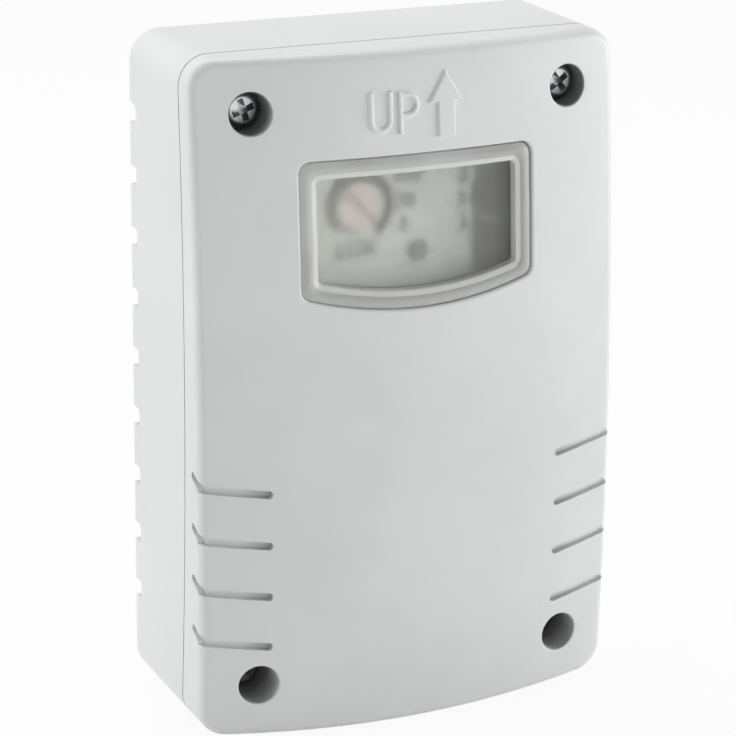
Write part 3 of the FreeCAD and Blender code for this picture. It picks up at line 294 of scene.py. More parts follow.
def dress(material, *nodes):
    """Gives nodes that stay another material."""
    for node in nodes:
        for place in NODES[node].material_slots:
            place.link = "OBJECT"
            place.material = material


def at_depth(points, depth):
    """Points (x, z) set at a depth coordinate."""
    return np.stack([points[..., 0], np.zeros(points.shape[:-1]) + depth, points[..., 1]], -1)


def on_face(points, sink=0.0):
    """Points (x, z) set on the cover's face, moved into the wall by a sink. The face is an arc of
    the plan radius P in plan, carried round an arc of the side radius S in side view, so
    y = S - depth - sqrt((S - P + sqrt(P^2 - x^2))^2 - (z - crest)^2)."""
    s = sizes()
    ring = (s.face_side_radius - s.face_plan_radius
            + np.sqrt(s.face_plan_radius ** 2 - points[..., 0] ** 2))
    fall = np.sqrt(ring ** 2 - (points[..., 1] - s.face_crest) ** 2)
    return at_depth(points, s.face_side_radius - s.face_depth - fall + sink)


def circle(count):
    """Cosines and sines of evenly spaced angles all round."""
    a = np.linspace(0, 2 * math.pi, count, endpoint=False)
    return np.cos(a), np.sin(a)


def arc_points(x, z, radius, start, end, count):
    """Points of a flat arc, its angles in degrees anticlockwise from the right."""
    t = np.radians(np.linspace(start, end, count))
    return np.stack([x + radius * np.cos(t), z + radius * np.sin(t)], -1)


def box_points(x, z, half_x, half_z, corner=0.0006, count=5):
    """A closed box with round corners as flat points."""
    return np.vstack([arc_points(x + sx * (half_x - corner), z + sz * (half_z - corner),
                                 corner, a, a + 90, count)
                      for sx, sz, a in ((1, 1, 0), (-1, 1, 90), (-1, -1, 180), (1, -1, 270))])


def outline(half, top, low, bow, corner):
    """Closed outline of a box with round corners and a bowed lower edge, anticlockwise seen from
    the front, as points (x, z) and outward directions. Each corner is an arc of the corner radius;
    the lower edge is an arc of the bow radius, whose lowest point is at -low."""
    count, run = 14, 18  # points of a corner, and of the lower edge or a straight side
    side, upper = half - corner, top - corner
    turn = math.asin(side / (bow - corner))
    lower = bow - low - (bow - corner) * math.cos(turn)
    quarter = 0.5 * math.pi
    points, ways = [], []
    for x, z, radius, start, end, steps in (
            (side, upper, corner, 0.0, quarter, count),
            (-side, upper, corner, quarter, math.pi, count),
            (-side, lower, corner, math.pi, 3 * quarter - turn, count),
            (0.0, bow - low, bow, 3 * quarter - turn, 3 * quarter + turn, run),
            (side, lower, corner, 3 * quarter + turn, 4 * quarter, count)):
        t = np.linspace(start, end, steps)
        ways.append(np.stack([np.cos(t), np.sin(t)], -1))
        points.append(np.array([x, z]) + radius * ways[-1])
    made, out = [], []
    for index, (arc, way) in enumerate(zip(points, ways)):
        after = points[(index + 1) % len(points)][0]
        if np.allclose(arc[-1], after, atol=1e-9):
            made.append(arc[:-1])
            out.append(way[:-1])
        else:
            straight = arc[-1] + (after - arc[-1]) * np.linspace(0, 1, run + 2)[1:-1, None]
            made += [arc, straight]
            out += [way, np.repeat(way[-1:], run, 0)]
    return np.concatenate(made), np.concatenate(out)


def mitre(path, distance, closed=False, least=0.0):
    """How each point of a flat path moves when its sides move to their left by a distance: along
    the bisector, by the distance over the cosine of half the turn, or over the least cosine."""
    run = np.roll(path, -1, 0) - path if closed else np.diff(path, axis=0)
    run /= np.linalg.norm(run, axis=1)[:, None]
    side = np.stack([-run[:, 1], run[:, 0]], -1)
    if closed:
        before, after = np.roll(side, 1, 0), side
    else:
        before, after = np.vstack([side[:1], side]), np.vstack([side, side[-1:]])
    across = before + after
    across /= np.linalg.norm(across, axis=1)[:, None]
    return across * distance / np.clip((across * after).sum(1), least, 1)[:, None]


def ribbon(name, path, width, section):
    """A closed bar along a flat path of points (x, z): a section, given as pairs of a share of
    half the width and an offset from the cover's face, is carried along the path."""
    path = np.array(path, float)
    reach = mitre(path, width / 2, least=0.5)
    return surface(name, np.stack([on_face(path + reach * part, offset)
                                   for part, offset in section], 1))


def plug(name, loop, steps):
    """A closed form over a flat loop of points (x, z): at each step, a pair of an inset and an
    offset from the cover's face, the loop is moved in by the inset."""
    loop = np.array(loop, float)
    return surface(name, np.stack([on_face(loop + mitre(loop, inset, closed=True), offset)
                                   for inset, offset in steps]))


def strips(name, paths, front, rear):
    """One object of flat bars between two depths, each given as (points, width, closed): a
    rectangle is carried along the points."""
    parts = []
    for path, width, closed in paths:
        path = np.array(path, float)
        reach = mitre(path, width / 2, closed, 0.5)
        rows = np.stack([at_depth(path + side * reach, depth) for side, depth in
                         ((1, front), (1, rear), (-1, rear), (-1, front))], 1)
        parts.append(object_of("strip", grid_mesh("strip", rows, closed)))
    made = gathered(name, parts)
    merged(made.data)
    return made


def plate(name, inner, outer, front, rear, closed=True):
    """A flat plate between an inner and an outer line with as many points each."""
    return surface(name, np.stack([at_depth(inner, front), at_depth(outer, front),
                                   at_depth(outer, rear), at_depth(inner, rear)], 1), closed)


def edge_cutter(name, points, ways, radius):
    """A ring that rounds an edge of the face: at each point of the edge a section whose inner side
    is a quarter arc of the radius from the wall of the opening to the face, carried along the
    edge. With a the angle, the arc is (radius (1 - cos a), radius (1 - sin a)) outwards and
    inwards."""
    over = 0.0004  # how far the ring stands past the face and the wall
    a = np.radians(np.linspace(4, 86, 6))
    out = np.array([-over, *radius * (1 - np.cos(a)), radius + over * 0.5, -over])
    deep = np.array([radius * (1 - math.sin(a[0])), *radius * (1 - np.sin(a)), -over, -over])
    rows = on_face(points[:, None, :] + ways[:, None, :] * out[None, :, None])
    return surface(name, rows + np.array([0, 1, 0]) * deep[None, :, None], closed=True)


def turned(name, profile, count):
    """A closed solid of revolution: a profile of (radius, height to the front) is turned about the
    axis to the front, x = r cos a, y = -height, z = r sin a."""
    r, h = np.hsplit(np.array(profile, float), 2)
    cos, sin = circle(count)
    return surface(name, np.stack([r * cos, -h + 0 * cos, r * sin], -1), ends=False)


def repeated(name, master, places):
    """One object of a master set at each place (x, y, z, turn about the axis to the front)."""
    parts = []
    for x, y, z, turn in places:
        copy = master.data.copy()
        copy.transform(Matrix.Translation((x, y, z)) @ Matrix.Rotation(turn, 4, "Y"))
        parts.append(object_of("copy", copy))
    return gathered(name, parts)


def figures(name, items, depth, thick):
    """Printed figures as one object: each item is a text, its place (x, z) and its height."""
    parts = []
    for text, x, z, high in items:
        curve = bpy.data.curves.new("figure", "FONT")
        curve.body, curve.size, curve.extrude = text, high / 0.7, thick / 2
        curve.align_x, curve.align_y, curve.resolution_u = "CENTER", "CENTER", 3
        curve.offset = high * 0.045
        shown = object_of("figure", curve)
        graph = bpy.context.evaluated_depsgraph_get()
        mesh = bpy.data.meshes.new_from_object(shown.evaluated_get(graph), depsgraph=graph)
        mesh.transform(Matrix.Translation((x, depth, z)) @ Matrix.Rotation(math.pi / 2, 4, "X"))
        parts.append(object_of("figure", mesh))
        bpy.data.objects.remove(shown)
        bpy.data.curves.remove(curve)
    return gathered(name, parts)


# Procedural finishes

def darker(base, factor):
    return tuple(max(0.0, min(1.0, part * factor)) for part in base)


class Nodes:
    """The node tree of a material or of the world, under construction."""

    def __init__(self, owner):
        owner.use_nodes = True
        self.tree = owner.node_tree
        self.tree.nodes.clear()

    def node(self, kind, inputs=(), **settings):
        """A new node. Each of its inputs takes a value or is linked to an output."""
        made = self.tree.nodes.new(kind)
        for key, value in settings.items():
            setattr(made, key, value)
        for key, value in dict(inputs).items():
            self.feed(made.inputs[key], value)
        return made

    def feed(self, target, value):
        if isinstance(value, bpy.types.NodeSocket):
            self.tree.links.new(value, target)
        else:
            target.default_value = value

    def math(self, operation, first, second=0.0):
        return self.node("ShaderNodeMath", {0: first, 1: second}, operation=operation).outputs[0]

    def mixed(self, factor, first, second):
        """A mix of the shaders of two nodes."""
        inputs = {0: factor, 1: first.outputs[0], 2: second.outputs[0]}
        return self.node("ShaderNodeMixShader", inputs).outputs[0]

    def seen(self):
        """1 where a ray shows the picture: straight from the camera, in gloss or through glass."""
        ray = self.node("ShaderNodeLightPath").outputs
        return self.math("MAXIMUM", self.math("MAXIMUM", ray["Is Camera Ray"],
                                              ray["Is Glossy Ray"]), ray["Is Transmission Ray"])


class Finish(Nodes):
    """A material under construction, whose patterns lie in Object coordinates."""

    def __init__(self, name, base, roughness, **sockets):
        self.material = bpy.data.materials.new(name)
        super().__init__(self.material)
        self.base = base
        inputs = {"Base Color": (*base, 1.0), "Roughness": roughness}
        inputs.update({socket.replace("_", " "): value for socket, value in sockets.items()})
        self.shader = self.node("ShaderNodeBsdfPrincipled", inputs)
        self.output = self.node("ShaderNodeOutputMaterial", {0: self.shader.outputs[0]})
        self.coordinates = self.node("ShaderNodeTexCoord").outputs["Object"]
        self.normal = None

    def noise(self, scale, detail, rough=0.5):
        """Noise over the piece, scale features to the metre."""
        return self.node("ShaderNodeTexNoise", {"Vector": self.coordinates, "Scale": scale,
                                                "Detail": detail, "Roughness": rough}
                         ).outputs["Fac"]

    def spread(self, source, low, high, start=0.3, end=0.7):
        """A value carried from the range start..end to low..high."""
        return self.node("ShaderNodeMapRange", {"Value": source, "From Min": start, "From Max": end,
                                                "To Min": low, "To Max": high}).outputs[0]

    def blend(self, factor, first, second):
        """A mix of two colours by a factor, each a value or an output."""
        first, second = ((*value, 1.0) if isinstance(value, tuple) else value
                         for value in (first, second))
        return self.node("ShaderNodeMix", {0: factor, 6: first, 7: second},
                         data_type="RGBA").outputs[2]

    def clouded(self, source, low, high, start=0.3, end=0.7):
        """The base colour times a low and a high factor, mixed as the source goes."""
        return self.blend(self.spread(source, 0.0, 1.0, start, end),
                          darker(self.base, low), darker(self.base, high))

    def tint(self, source):
        self.feed(self.shader.inputs["Base Color"], source)

    def gloss(self, source, low, high, start=0.3, end=0.7):
        self.feed(self.shader.inputs["Roughness"], self.spread(source, low, high, start, end))

    def patchy(self, noise, tones, gloss):
        """Colour between two tones and gloss between two levels, as one noise goes."""
        source = self.noise(*noise)
        self.tint(self.clouded(source, *tones))
        self.gloss(source, *gloss)

    def relief(self, source, depth, strength=1.0, invert=False):
        """Bumps of a depth in metres, laid over those before."""
        inputs = {"Strength": strength, "Distance": depth, "Height": source}
        if self.normal is not None:
            inputs["Normal"] = self.normal
        self.normal = self.node("ShaderNodeBump", inputs, invert=invert).outputs[0]
        self.feed(self.shader.inputs["Normal"], self.normal)

    def bared(self, mask, coat, metal, rough, rough_metal=0.30):
        """Coated where the mask is 0, bare metal where it is 1."""
        self.tint(self.blend(mask, coat, metal))
        self.feed(self.shader.inputs["Metallic"], mask)
        self.gloss(mask, rough, rough_metal, 0.0, 1.0)

    def axis(self, index):
        """One coordinate of the piece, in metres."""
        return self.node("ShaderNodeSeparateXYZ", {0: self.coordinates}).outputs[index]

    def apart(self, index, middle=0.0):
        """Distance from a middle along one coordinate."""
        return self.math("ABSOLUTE", self.math("SUBTRACT", self.axis(index), middle))

    def squared(self, source, middle=0.0):
        return self.math("POWER", self.math("SUBTRACT", source, middle), 2.0)

    def within(self, index, middle, half):
        """1 where a coordinate is nearer to the middle than the half width."""
        return self.math("LESS_THAN", self.apart(index, middle), half)

    def behind(self, depth):
        """1 behind a depth coordinate."""
        return self.math("GREATER_THAN", self.axis(INWARDS), depth)


def moulded(name, base, roughness, depth=0.000012, mottle=45.0, swing=0.03, over=None):
    """Moulded plastic: a fine even grain from the mould, faint flow marks in colour and gloss. A
    function may lay more colours over it."""
    made = Finish(name, base, roughness, IOR=1.49)
    flow = made.noise(mottle, 3.0, 0.55)
    skin = made.clouded(flow, 1 - swing, 1 + swing)
    made.tint(over(made, skin) if over else skin)
    made.gloss(made.noise(mottle * 4, 3.0), roughness - 0.04, roughness + 0.05)
    made.relief(made.noise(3200.0, 2.0, 0.6), depth, 0.55)
    made.relief(flow, 0.00004, 0.15)
    return made.material


def printed(name, base, swing=0.10):
    """Ink or paint in a thin coat, a little uneven."""
    return moulded(name, base, 0.5, depth=0.000004, mottle=900.0, swing=swing)


def leaded(name, base, roughness, ends=None, rear=None, bands=()):
    """A coated part on tinned leads, bare beyond its ends (a middle level and a half length) or
    behind a rear depth. A band is a level, a half width, a colour and, if it is only on the parts
    farther right, where they begin."""
    made = Finish(name, base, roughness, IOR=1.5)
    coat = made.clouded(made.noise(400.0, 3.0), 0.85, 1.15)
    for level, half, stripe, *start in bands:
        where = made.within(UPWARDS, level, half)
        for x in start:
            where = made.math("MULTIPLY", where,
                              made.math("GREATER_THAN", made.axis(ACROSS), x))
        coat = made.blend(where, coat, stripe)
    masks = [made.behind(rear)] if rear else []
    if ends:
        masks.append(made.math("GREATER_THAN", made.apart(UPWARDS, ends[0]), ends[1]))
    mask = made.math("MAXIMUM", *masks) if len(masks) > 1 else masks[0]
    made.bared(mask, coat, darker(shade("tin"), 0.95), roughness)
    made.relief(made.noise(2400.0, 2.0), 0.000008, 0.4)
    return made.material


def plated(name, base, roughness=0.26):
    """Plated metal: bright, with dull patches and slight pits."""
    made = Finish(name, base, roughness, Metallic=1.0)
    made.patchy((540.0, 4.0, 0.6), (0.82, 1.06), (roughness - 0.06, roughness + 0.16))
    made.relief(made.noise(4500.0, 2.0), 0.000008, 0.5)
    return made.material


def rubbery(name, base):
    """Soft rubber: matt, with a light bloom of powder and a fine pimpled skin."""
    made = Finish(name, base, 0.72, IOR=1.5)
    made.patchy((260.0, 4.0, 0.65), (1.0, 1.9, 0.35, 0.75), (0.62, 0.82))
    made.relief(made.noise(5200.0, 2.0), 0.000015, 0.7)
    return made.material


# The stage

def stage_floor():
    """A flat square under the switch, pale, kept near white for the camera, with its shadow."""
    reach, level = 3.0, BOX_LOADED[0].z - 0.0002
    rows = np.array([[(x, y, level) for x in (-reach, reach)] for y in (-reach, reach)])
    floor = object_of("floor", grid_mesh("floor", rows, ends=False, rings=False))
    material = bpy.data.materials.new("pale_floor")
    made = Nodes(material)
    diffuse = made.node("ShaderNodeBsdfDiffuse", {"Color": (*shade("floor"), 1.0)})
    glow = made.node("ShaderNodeEmission", {"Color": WHITE})
    factor = made.math("MULTIPLY", made.seen(), colours().floor_glow)
    made.node("ShaderNodeOutputMaterial", {0: made.mixed(factor, diffuse, glow)})
    floor.data.materials.append(material)


def stage_world(scene):
    """White behind the switch, and an even light from all round."""
    scene.world = bpy.data.worlds.new("studio")
    made = Nodes(scene.world)
    light, white = (made.node("ShaderNodeBackground", {"Color": tone, "Strength": level})
                    for tone, level in (((0.97, 0.985, 1.0, 1.0), colours().ambient),
                                        (WHITE, 1.0)))
    made.node("ShaderNodeOutputWorld", {0: made.mixed(made.seen(), light, white)})


def stage_lamps():
    """Soft lamps: left and a little behind, low on the right, overhead, and low in front."""
    c = colours()
    for name, place, target, wide, tall, watts in (
            ("lamp_left", (-0.75, 0.18, 0.12), (-0.03, -0.01, 0.0), 0.6, 0.6, c.side_lamp),
            ("lamp_right", (0.75, -0.30, 0.08), (0.0, -0.03, 0.0), 0.5, 0.25, c.right_lamp),
            ("lamp_top", (0.0, 0.25, 0.80), (0.0, -0.02, 0.0), 0.6, 0.6, c.top_lamp),
            ("lamp_low", (0.15, -0.70, 0.0), (0.0, -0.03, -0.02), 0.8, 0.1, c.low_lamp)):
        data = bpy.data.lights.new(name, "AREA")
        data.shape, data.size, data.size_y, data.energy = "RECTANGLE", wide, tall, watts
        lamp = object_of(name, data)
        lamp.location = place
        aim = Vector(target) - Vector(place)
        lamp.rotation_euler = aim.to_track_quat("-Z", "Y").to_euler()


def stage_camera(scene):
    """The photograph's view: a long lens, aimed a little off the middle, tilted by the roll."""
    s = sizes()
    azimuth, elevation, roll = s.camera_azimuth, s.camera_elevation, s.camera_roll
    target = Vector((-0.004185, -0.020, 0.000966))
    forward = Vector((-math.sin(azimuth) * math.cos(elevation),
                      math.cos(azimuth) * math.cos(elevation), -math.sin(elevation)))
    right = forward.cross(Vector((0, 0, 1))).normalized()
    up = right.cross(forward)
    across = right * math.cos(roll) + up * math.sin(roll)
    upright = up * math.cos(roll) - right * math.sin(roll)
    data = bpy.data.cameras.new("camera")
    data.lens, data.sensor_width = 138.5, 36.0
    data.shift_x, data.shift_y = 0.0034, 0.0001
    data.clip_start, data.clip_end = 0.02, 20.0
    camera = object_of("camera", data)
    turn = Matrix((across, upright, -forward)).transposed().to_4x4()
    camera.matrix_world = Matrix.Translation(target - forward * s.camera_distance) @ turn
    scene.camera = camera


class TWILIGHT_OT_stage(bpy.types.Operator):
    """Make the floor, the light and the camera"""

    bl_idname = "twilight.stage"
    bl_label = "Stage, light and camera"

    def execute(self, context):
        context.scene.view_settings.view_transform = "Standard"
        stage_floor()
        stage_world(context.scene)
        stage_lamps()
        stage_camera(context.scene)
        return {"FINISHED"}


# Housing and cover

def painted_recess_shade(made, skin):
    """The cover's colour with painted shade in its hollows: darker down in the screw wells, by a
    share that grows with the depth within a circle round each screw, and in the grooves, by a share
    that grows with the depth under the face, y = x^2 / 2P + (z - crest)^2 / 2S - depth."""
    low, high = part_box("cover_screws")
    away = made.math("ADD", made.squared(made.apart(ACROSS), high.x - COVER_HEAD),
                     made.squared(made.apart(UPWARDS, (high.z + low.z) / 2),
                                  (high.z - low.z) / 2 - COVER_HEAD))
    inside = made.math("LESS_THAN", away, 0.0034 ** 2)
    # Painted shade in the screw wells: the colour darkens with the depth.
    deep = made.spread(made.axis(INWARDS), 0.0, 1.0, -0.0302, -0.0252)
    skin = made.blend(made.math("MULTIPLY", inside, deep), skin, darker(made.base, 0.36))
    s = sizes()
    bow = made.math("MULTIPLY", made.squared(made.axis(ACROSS)), 0.5 / s.face_plan_radius)
    along = made.math("MULTIPLY", made.squared(made.axis(UPWARDS), s.face_crest),
                      0.5 / s.face_side_radius)
    face = made.math("SUBTRACT", made.math("ADD", bow, along), s.face_depth)
    sunk = made.math("SUBTRACT", made.axis(INWARDS), face)
    # Painted shade in the grooves: the colour darkens with the depth under the face.
    groove = made.spread(sunk, 0.0, 1.0, 0.00018, 0.00095)
    for limit in (made.math("LESS_THAN", sunk, 0.0017), made.within(UPWARDS, -0.0250, 0.0190),
                  made.spread(made.apart(ACROSS), 1.0, 0.0, 0.0215, 0.0295)):
        groove = made.math("MULTIPLY", groove, limit)
    return made.blend(groove, skin, darker(made.base, 0.45))


def soft_edges():
    """Cutters for the soft edges of the window opening and of the four screw wells."""
    s = sizes()
    points, ways = outline(0.01975, 0.03795, -0.01385, 0.06515, 0.00195)
    made = [edge_cutter("opening_edge", points, ways, s.edge_soft)]
    low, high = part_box("cover_screws")
    across, well = 0.02675, 0.00325
    ring = np.stack(circle(48), -1)
    for x in (-across, across):
        for z in (low.z + COVER_HEAD, high.z - COVER_HEAD):
            made.append(edge_cutter("well_edge", np.array([x, z]) + well * ring, ring,
                                    s.well_soft))
    return made


def marks():
    """The raised mark: the word UP in plain round strokes, and a block arrow beside it. With a
    the angle, a stroke's section is the half ellipse (cos a, sin a) on a foot in the wall."""
    s = sizes()
    tall, wide = s.mark_height, s.mark_stroke
    half, foot = wide / 2, 0.0003
    a = np.radians(np.linspace(8, 172, 9))

    def stroke(height):
        return [(1.0, foot), *[(math.cos(t), -height * math.sin(t)) for t in a], (-1.0, foot)]

    left, right, top, low = -0.0085 + half, -0.00445 - half, 0.0478, 0.0415
    bend = (right - left) / 2
    letter_u = [[left, top],
                *arc_points((left + right) / 2, low + half + bend, bend, 180, 360, 16),
                [right, top]]
    left, right, top, low = -0.0037 + half, 0.0 - half, 0.0476, 0.0412
    bend = 0.00155
    stem = [[left, low], [left, top - 0.0002], [left, top]]
    bowl = [[left - 0.0001, top - half],
            *arc_points(right - bend, top - half - bend, bend, 90, -90, 16),
            [left - 0.0001, top - half - 2 * bend]]
    letter_p = combine(ribbon("mark_p_stem", stem, wide, stroke(tall)),
                       ribbon("mark_p_bowl", bowl, wide * 1.01, stroke(tall * 0.98)), "UNION")
    tip, barb, end = 0.0505, 0.0455, 0.0402
    middle, reach, slim = 0.00445, 0.00308, 0.00159
    arrow = [[middle, tip], [middle - reach, barb], [middle - slim, barb], [middle - slim, end],
             [middle + slim, end], [middle + slim, barb], [middle + reach, barb]]
    bank = [(0.0, foot), (0.0, -0.00003), (0.00016, -0.7 * tall), (0.00040, -tall)]
    return [ribbon("mark_u", letter_u, wide, stroke(tall)), letter_p,
            plug("mark_arrow", arrow, bank)]


class TWILIGHT_OT_enclosure(bpy.types.Operator):
    """Make the housing and the cover, with the cover's soft edges and its upright mark"""

    bl_idname = "twilight.enclosure"
    bl_label = "Housing and cover"

    def execute(self, context):
        shell = moulded("shell_plastic", shade("cover"), 0.40)
        housing = copied("rear_housing", "housing_shell")
        soften(housing, 28)
        finish(housing, "housing", [shell], ["rear_housing"])
        cover = copied("front_cover", "cover_shell")
        combine(cover, gathered("cover_edges", soft_edges()), "DIFFERENCE")
        combine(cover, gathered("cover_marks", marks()), "UNION")
        soften(cover, 28)
        # The cover's plastic, with painted shade laid over it down in the screw wells and the
        # grooves.
        skin = moulded("cover_plastic", shade("cover"), 0.40, over=painted_recess_shade)
        finish(cover, "cover", [skin], ["front_cover"])
        return {"FINISHED"}


# The window

def window_rows(s):
    """Rings of the window from the middle of its pane to its rear. At each step, which is an inset,
    a sink behind the cover's face and a corner radius, the outline is moved in by the inset. The
    rim's crown is a half sine."""
    rim, recess, flush, deep, soft = 0.00285, 0.0020, 0.00030, 0.0042, 0.00036
    start = rim - s.rim_bevel
    steps = [(rim + 0.0042, recess, 0.0004), (rim + 0.0010, recess, 0.0005),
             (rim + 0.00015, recess, 0.0006), (rim, recess - 0.00012, 0.0007),
             (rim - 0.00008, 0.00075, 0.0007), (rim - 0.0002, 0.00055, 0.0008),
             (start + 0.00012, 0.00034, 0.0011)]
    steps += [(start + (soft - start) * t, flush - s.rim_crown * math.sin(math.pi * t) ** 0.9,
               0.0016) for t in np.linspace(0, 1, 7)]
    steps += [(soft * (1 - math.sin(a)), flush + soft * (1 - math.cos(a)), 0.0018)
              for a in np.radians(np.linspace(20, 90, 4))]
    steps += [(0.0, 0.0024, 0.0018), (0.0, 0.00246, 0.0018), (-0.0019, 0.00246, 0.0037),
              (-0.0020, 0.00256, 0.0038), (-0.0020, 0.0041, 0.0038), (-0.0019, deep, 0.0037),
              (0.0, deep, 0.0018), (rim + 0.0042, deep, 0.0010)]
    return np.stack([on_face(outline(0.0196 - inset, 0.0378 - inset, -0.0140 - inset,
                                     0.065 - inset, corner)[0], sink)
                     for inset, sink, corner in steps])


def frosted(name, tone, through, rough):
    """Frosted clear plastic: light goes through and is spread, with a milky share and a fine
    sandy skin. A shadow ray passes in part, so that what lies behind is lit."""
    made = Finish(name, darker(shade("window"), tone), rough, IOR=1.35,
                  Transmission_Weight=through, Specular_IOR_Level=0.35)
    made.tint(made.clouded(made.noise(70.0, 3.0), 0.97, 1.03))
    made.gloss(made.noise(200.0, 2.0), rough - 0.05, rough + 0.05)
    made.relief(made.noise(2600.0, 2.0), 0.000012, 0.5)
    clear = made.node("ShaderNodeBsdfTransparent", {"Color": (0.72, 0.735, 0.72, 1.0)})
    shadow = made.node("ShaderNodeLightPath").outputs["Is Shadow Ray"]
    made.feed(made.output.inputs[0], made.mixed(shadow, made.shader, clear))
    return made.material


class TWILIGHT_OT_window(bpy.types.Operator):
    """Make the frosted window: a crowned rim, a slope and a sunk pane in one moulding"""

    bl_idname = "twilight.window"
    bl_label = "Frosted window"

    def execute(self, context):
        rows = window_rows(sizes())
        bands, count = len(rows) - 1, rows.shape[1]
        band = np.concatenate([np.repeat(np.arange(bands), count), [0, bands + 1]])
        pane, lip, rim = 0, 1, 2
        stuff = np.where((band < 3) | (band >= bands - 1), pane, np.where(band < 7, lip, rim))
        window = surface("frosted_window", rows, stuff=stuff)
        soften(window, 40)
        finish(window, "cover",
               [frosted("frosted_pane", 0.90, 0.93, 0.36), frosted("window_lip", 0.92, 0.10, 0.35),
                frosted("window_rim", 0.75, 0.30, 0.35)], ["window_lens"])
        low, high = (np.array(corner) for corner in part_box("window_lens"))
        made_low, made_high = rows.min((0, 1)), rows.max((0, 1))
        if (made_low < low - 1e-4).any() or (made_high > high + 1e-4).any():
            raise RuntimeError(f"the window leaves its node's box: {made_low} {made_high}")
        return {"FINISHED"}


# Screws

def screw(name, radius, tall, crown, shank, long, cross):
    """One screw with its seat at the origin. Head: a disc whose top is an arc that rises by the
    crown, with a cross cut in. Shank: radius less a ridge that winds once in each pitch, with a
    tapered tip."""
    side, edge, swell = tall - crown, 0.36 * radius, 0.00014
    dome = [(radius - edge * (1 - math.cos(t)), side + (crown - swell) * math.sin(t))
            for t in np.radians(np.linspace(0, 90, 12))]
    dome += [((radius - edge) * part, tall - swell * part ** 2) for part in (0.8, 0.55, 0.3, 0.0)]
    foot = [(0.0, 0.0), (radius * 0.96, 0.0), (radius, 0.00012), (radius, side)]
    head = turned(name + "_head", foot + dome[1:], 56)
    t = np.linspace(0, 1, 5)[:, None]
    arm, slim = cross * (1 - 0.45 * t), 0.27 * cross * (1 - 0.25 * t)
    x = np.hstack([arm, slim, slim, -slim, -slim, -arm, -arm, -slim, -slim, slim, slim, arm])
    height = (tall + 0.0003) - (0.0003 + 0.00125 * tall / 0.002) * t
    recess = surface("cross", np.stack([x, -height + 0 * x, np.roll(x, 3, 1)], -1))
    combine(head, recess, "DIFFERENCE")
    smooth(head.data, 35)

    pitch, turn_length = sizes().screw_pitch * (1.0 if shank > 0.0013 else 0.75), long - 0.001
    along = np.linspace(0, 1, int(round(turn_length / pitch * 10)))[:, None]
    around = np.linspace(0, 2 * math.pi, 28, endpoint=False)[None, :]
    wind = (along * turn_length / pitch - around / (2 * math.pi)) % 1.0
    ridge = np.clip(1 - np.abs(wind - 0.5) / 0.28, 0, 1)
    fade = np.clip(np.minimum(along / 0.06, (1 - along) / 0.10), 0, 1)
    taper = np.clip((1.0 - along) / 0.12, 0.35, 1) ** 0.6
    reach = shank * (0.80 + 0.20 * ridge * fade) * taper
    depth = 0.0002 + along * (long - 0.0002)
    rows = np.stack([reach * np.cos(around), depth + 0 * around, reach * np.sin(around)], -1)
    start = rows[:1] * np.array([1, 0, 1]) + np.array([0, -0.0002, 0])
    thread = surface("shank", np.concatenate([start, rows]))
    smooth(thread.data, 50)
    return gathered(name, [head, thread])


def screw_axes(node):
    """The axis (x, z) of each loose part of a node, left to right and then upwards."""
    work = bmesh.new()
    work.from_mesh(NODES[node].data)
    bmesh.ops.remove_doubles(work, verts=work.verts, dist=SAME_POINT)
    left, found = set(work.verts), []
    while left:
        stack, island = [left.pop()], []
        while stack:
            vert = stack.pop()
            island.append((vert.co.x, vert.co.z))
            fresh = {edge.other_vert(vert) for edge in vert.link_edges} & left
            left -= fresh
            stack += fresh
        points = np.array(island)
        found.append(tuple((points.min(0) + points.max(0)) / 2))
    work.free()
    return sorted(found, key=lambda place: (round(place[0], 4), place[1]))


class TWILIGHT_OT_screws(bpy.types.Operator):
    """Make the screws of the cover, the cable clamps, the board and the panel: domed heads with a
    cross, and threaded shanks
    """

    bl_idname = "twilight.screws"
    bl_label = "Screws"

    def execute(self, context):
        zinc = plated("zinc_plate", shade("zinc"))
        # Painted shade: the cover screws get a darker copy of the zinc, for the dark walls of the
        # wells that their heads reflect.
        well_shaded_zinc = plated("cover_screw_zinc", darker(shade("zinc"), 0.62), 0.30)
        large = screw("cover_screw", COVER_HEAD, 0.0026, 0.0011, 0.00145, 0.0120, 0.0020)
        small = screw("small_screw", 0.0024, 0.0015, 0.0006, 0.0012, 0.0055, 0.0014)
        for node, made, body, master, material, seat, turns in (
                ("cover_screws", "corner_screws", "cover", large, well_shaded_zinc, -0.0213, (38, 71, 12, 55)),
                ("clamp_screws", "cable_clamp_screws", "housing", small, zinc, -0.0171,
                 (20, 64, 8, 47)),
                ("board_screws", "board_fixing_screws", "housing", small, zinc, -0.0098,
                 (33, 75, 51, 14)),
                ("panel_screws", "panel_fixing_screws", "housing", small, zinc, -0.0204,
                 (28, 66))):
            axes = screw_axes(node)
            if len(axes) != len(turns):
                raise RuntimeError(f"{node} has {len(axes)} screws, but {len(turns)} turns")
            places = [(x, seat, z, math.radians(turn)) for (x, z), turn in zip(axes, turns)]
            finish(repeated(made, master, places), body, [material], [node])
        for master in (large, small):
            bpy.data.objects.remove(master)
        return {"FINISHED"}


# Cable entries and seal

class TWILIGHT_OT_entries(bpy.types.Operator):
    """Finish the seal, the cable grommets and the cable clamps"""

    bl_idname = "twilight.entries"
    bl_label = "Seal, grommets and clamps"

    def execute(self, context):
        dress(rubbery("black_rubber", shade("rubber")),
              "cover_seal", "left_cable_grommet", "right_cable_grommet")
        dress(moulded("clamp_nylon", (0.74, 0.73, 0.69), 0.48, mottle=120.0),
              "left_cable_clamp", "right_cable_clamp")
        return {"FINISHED"}


# Board

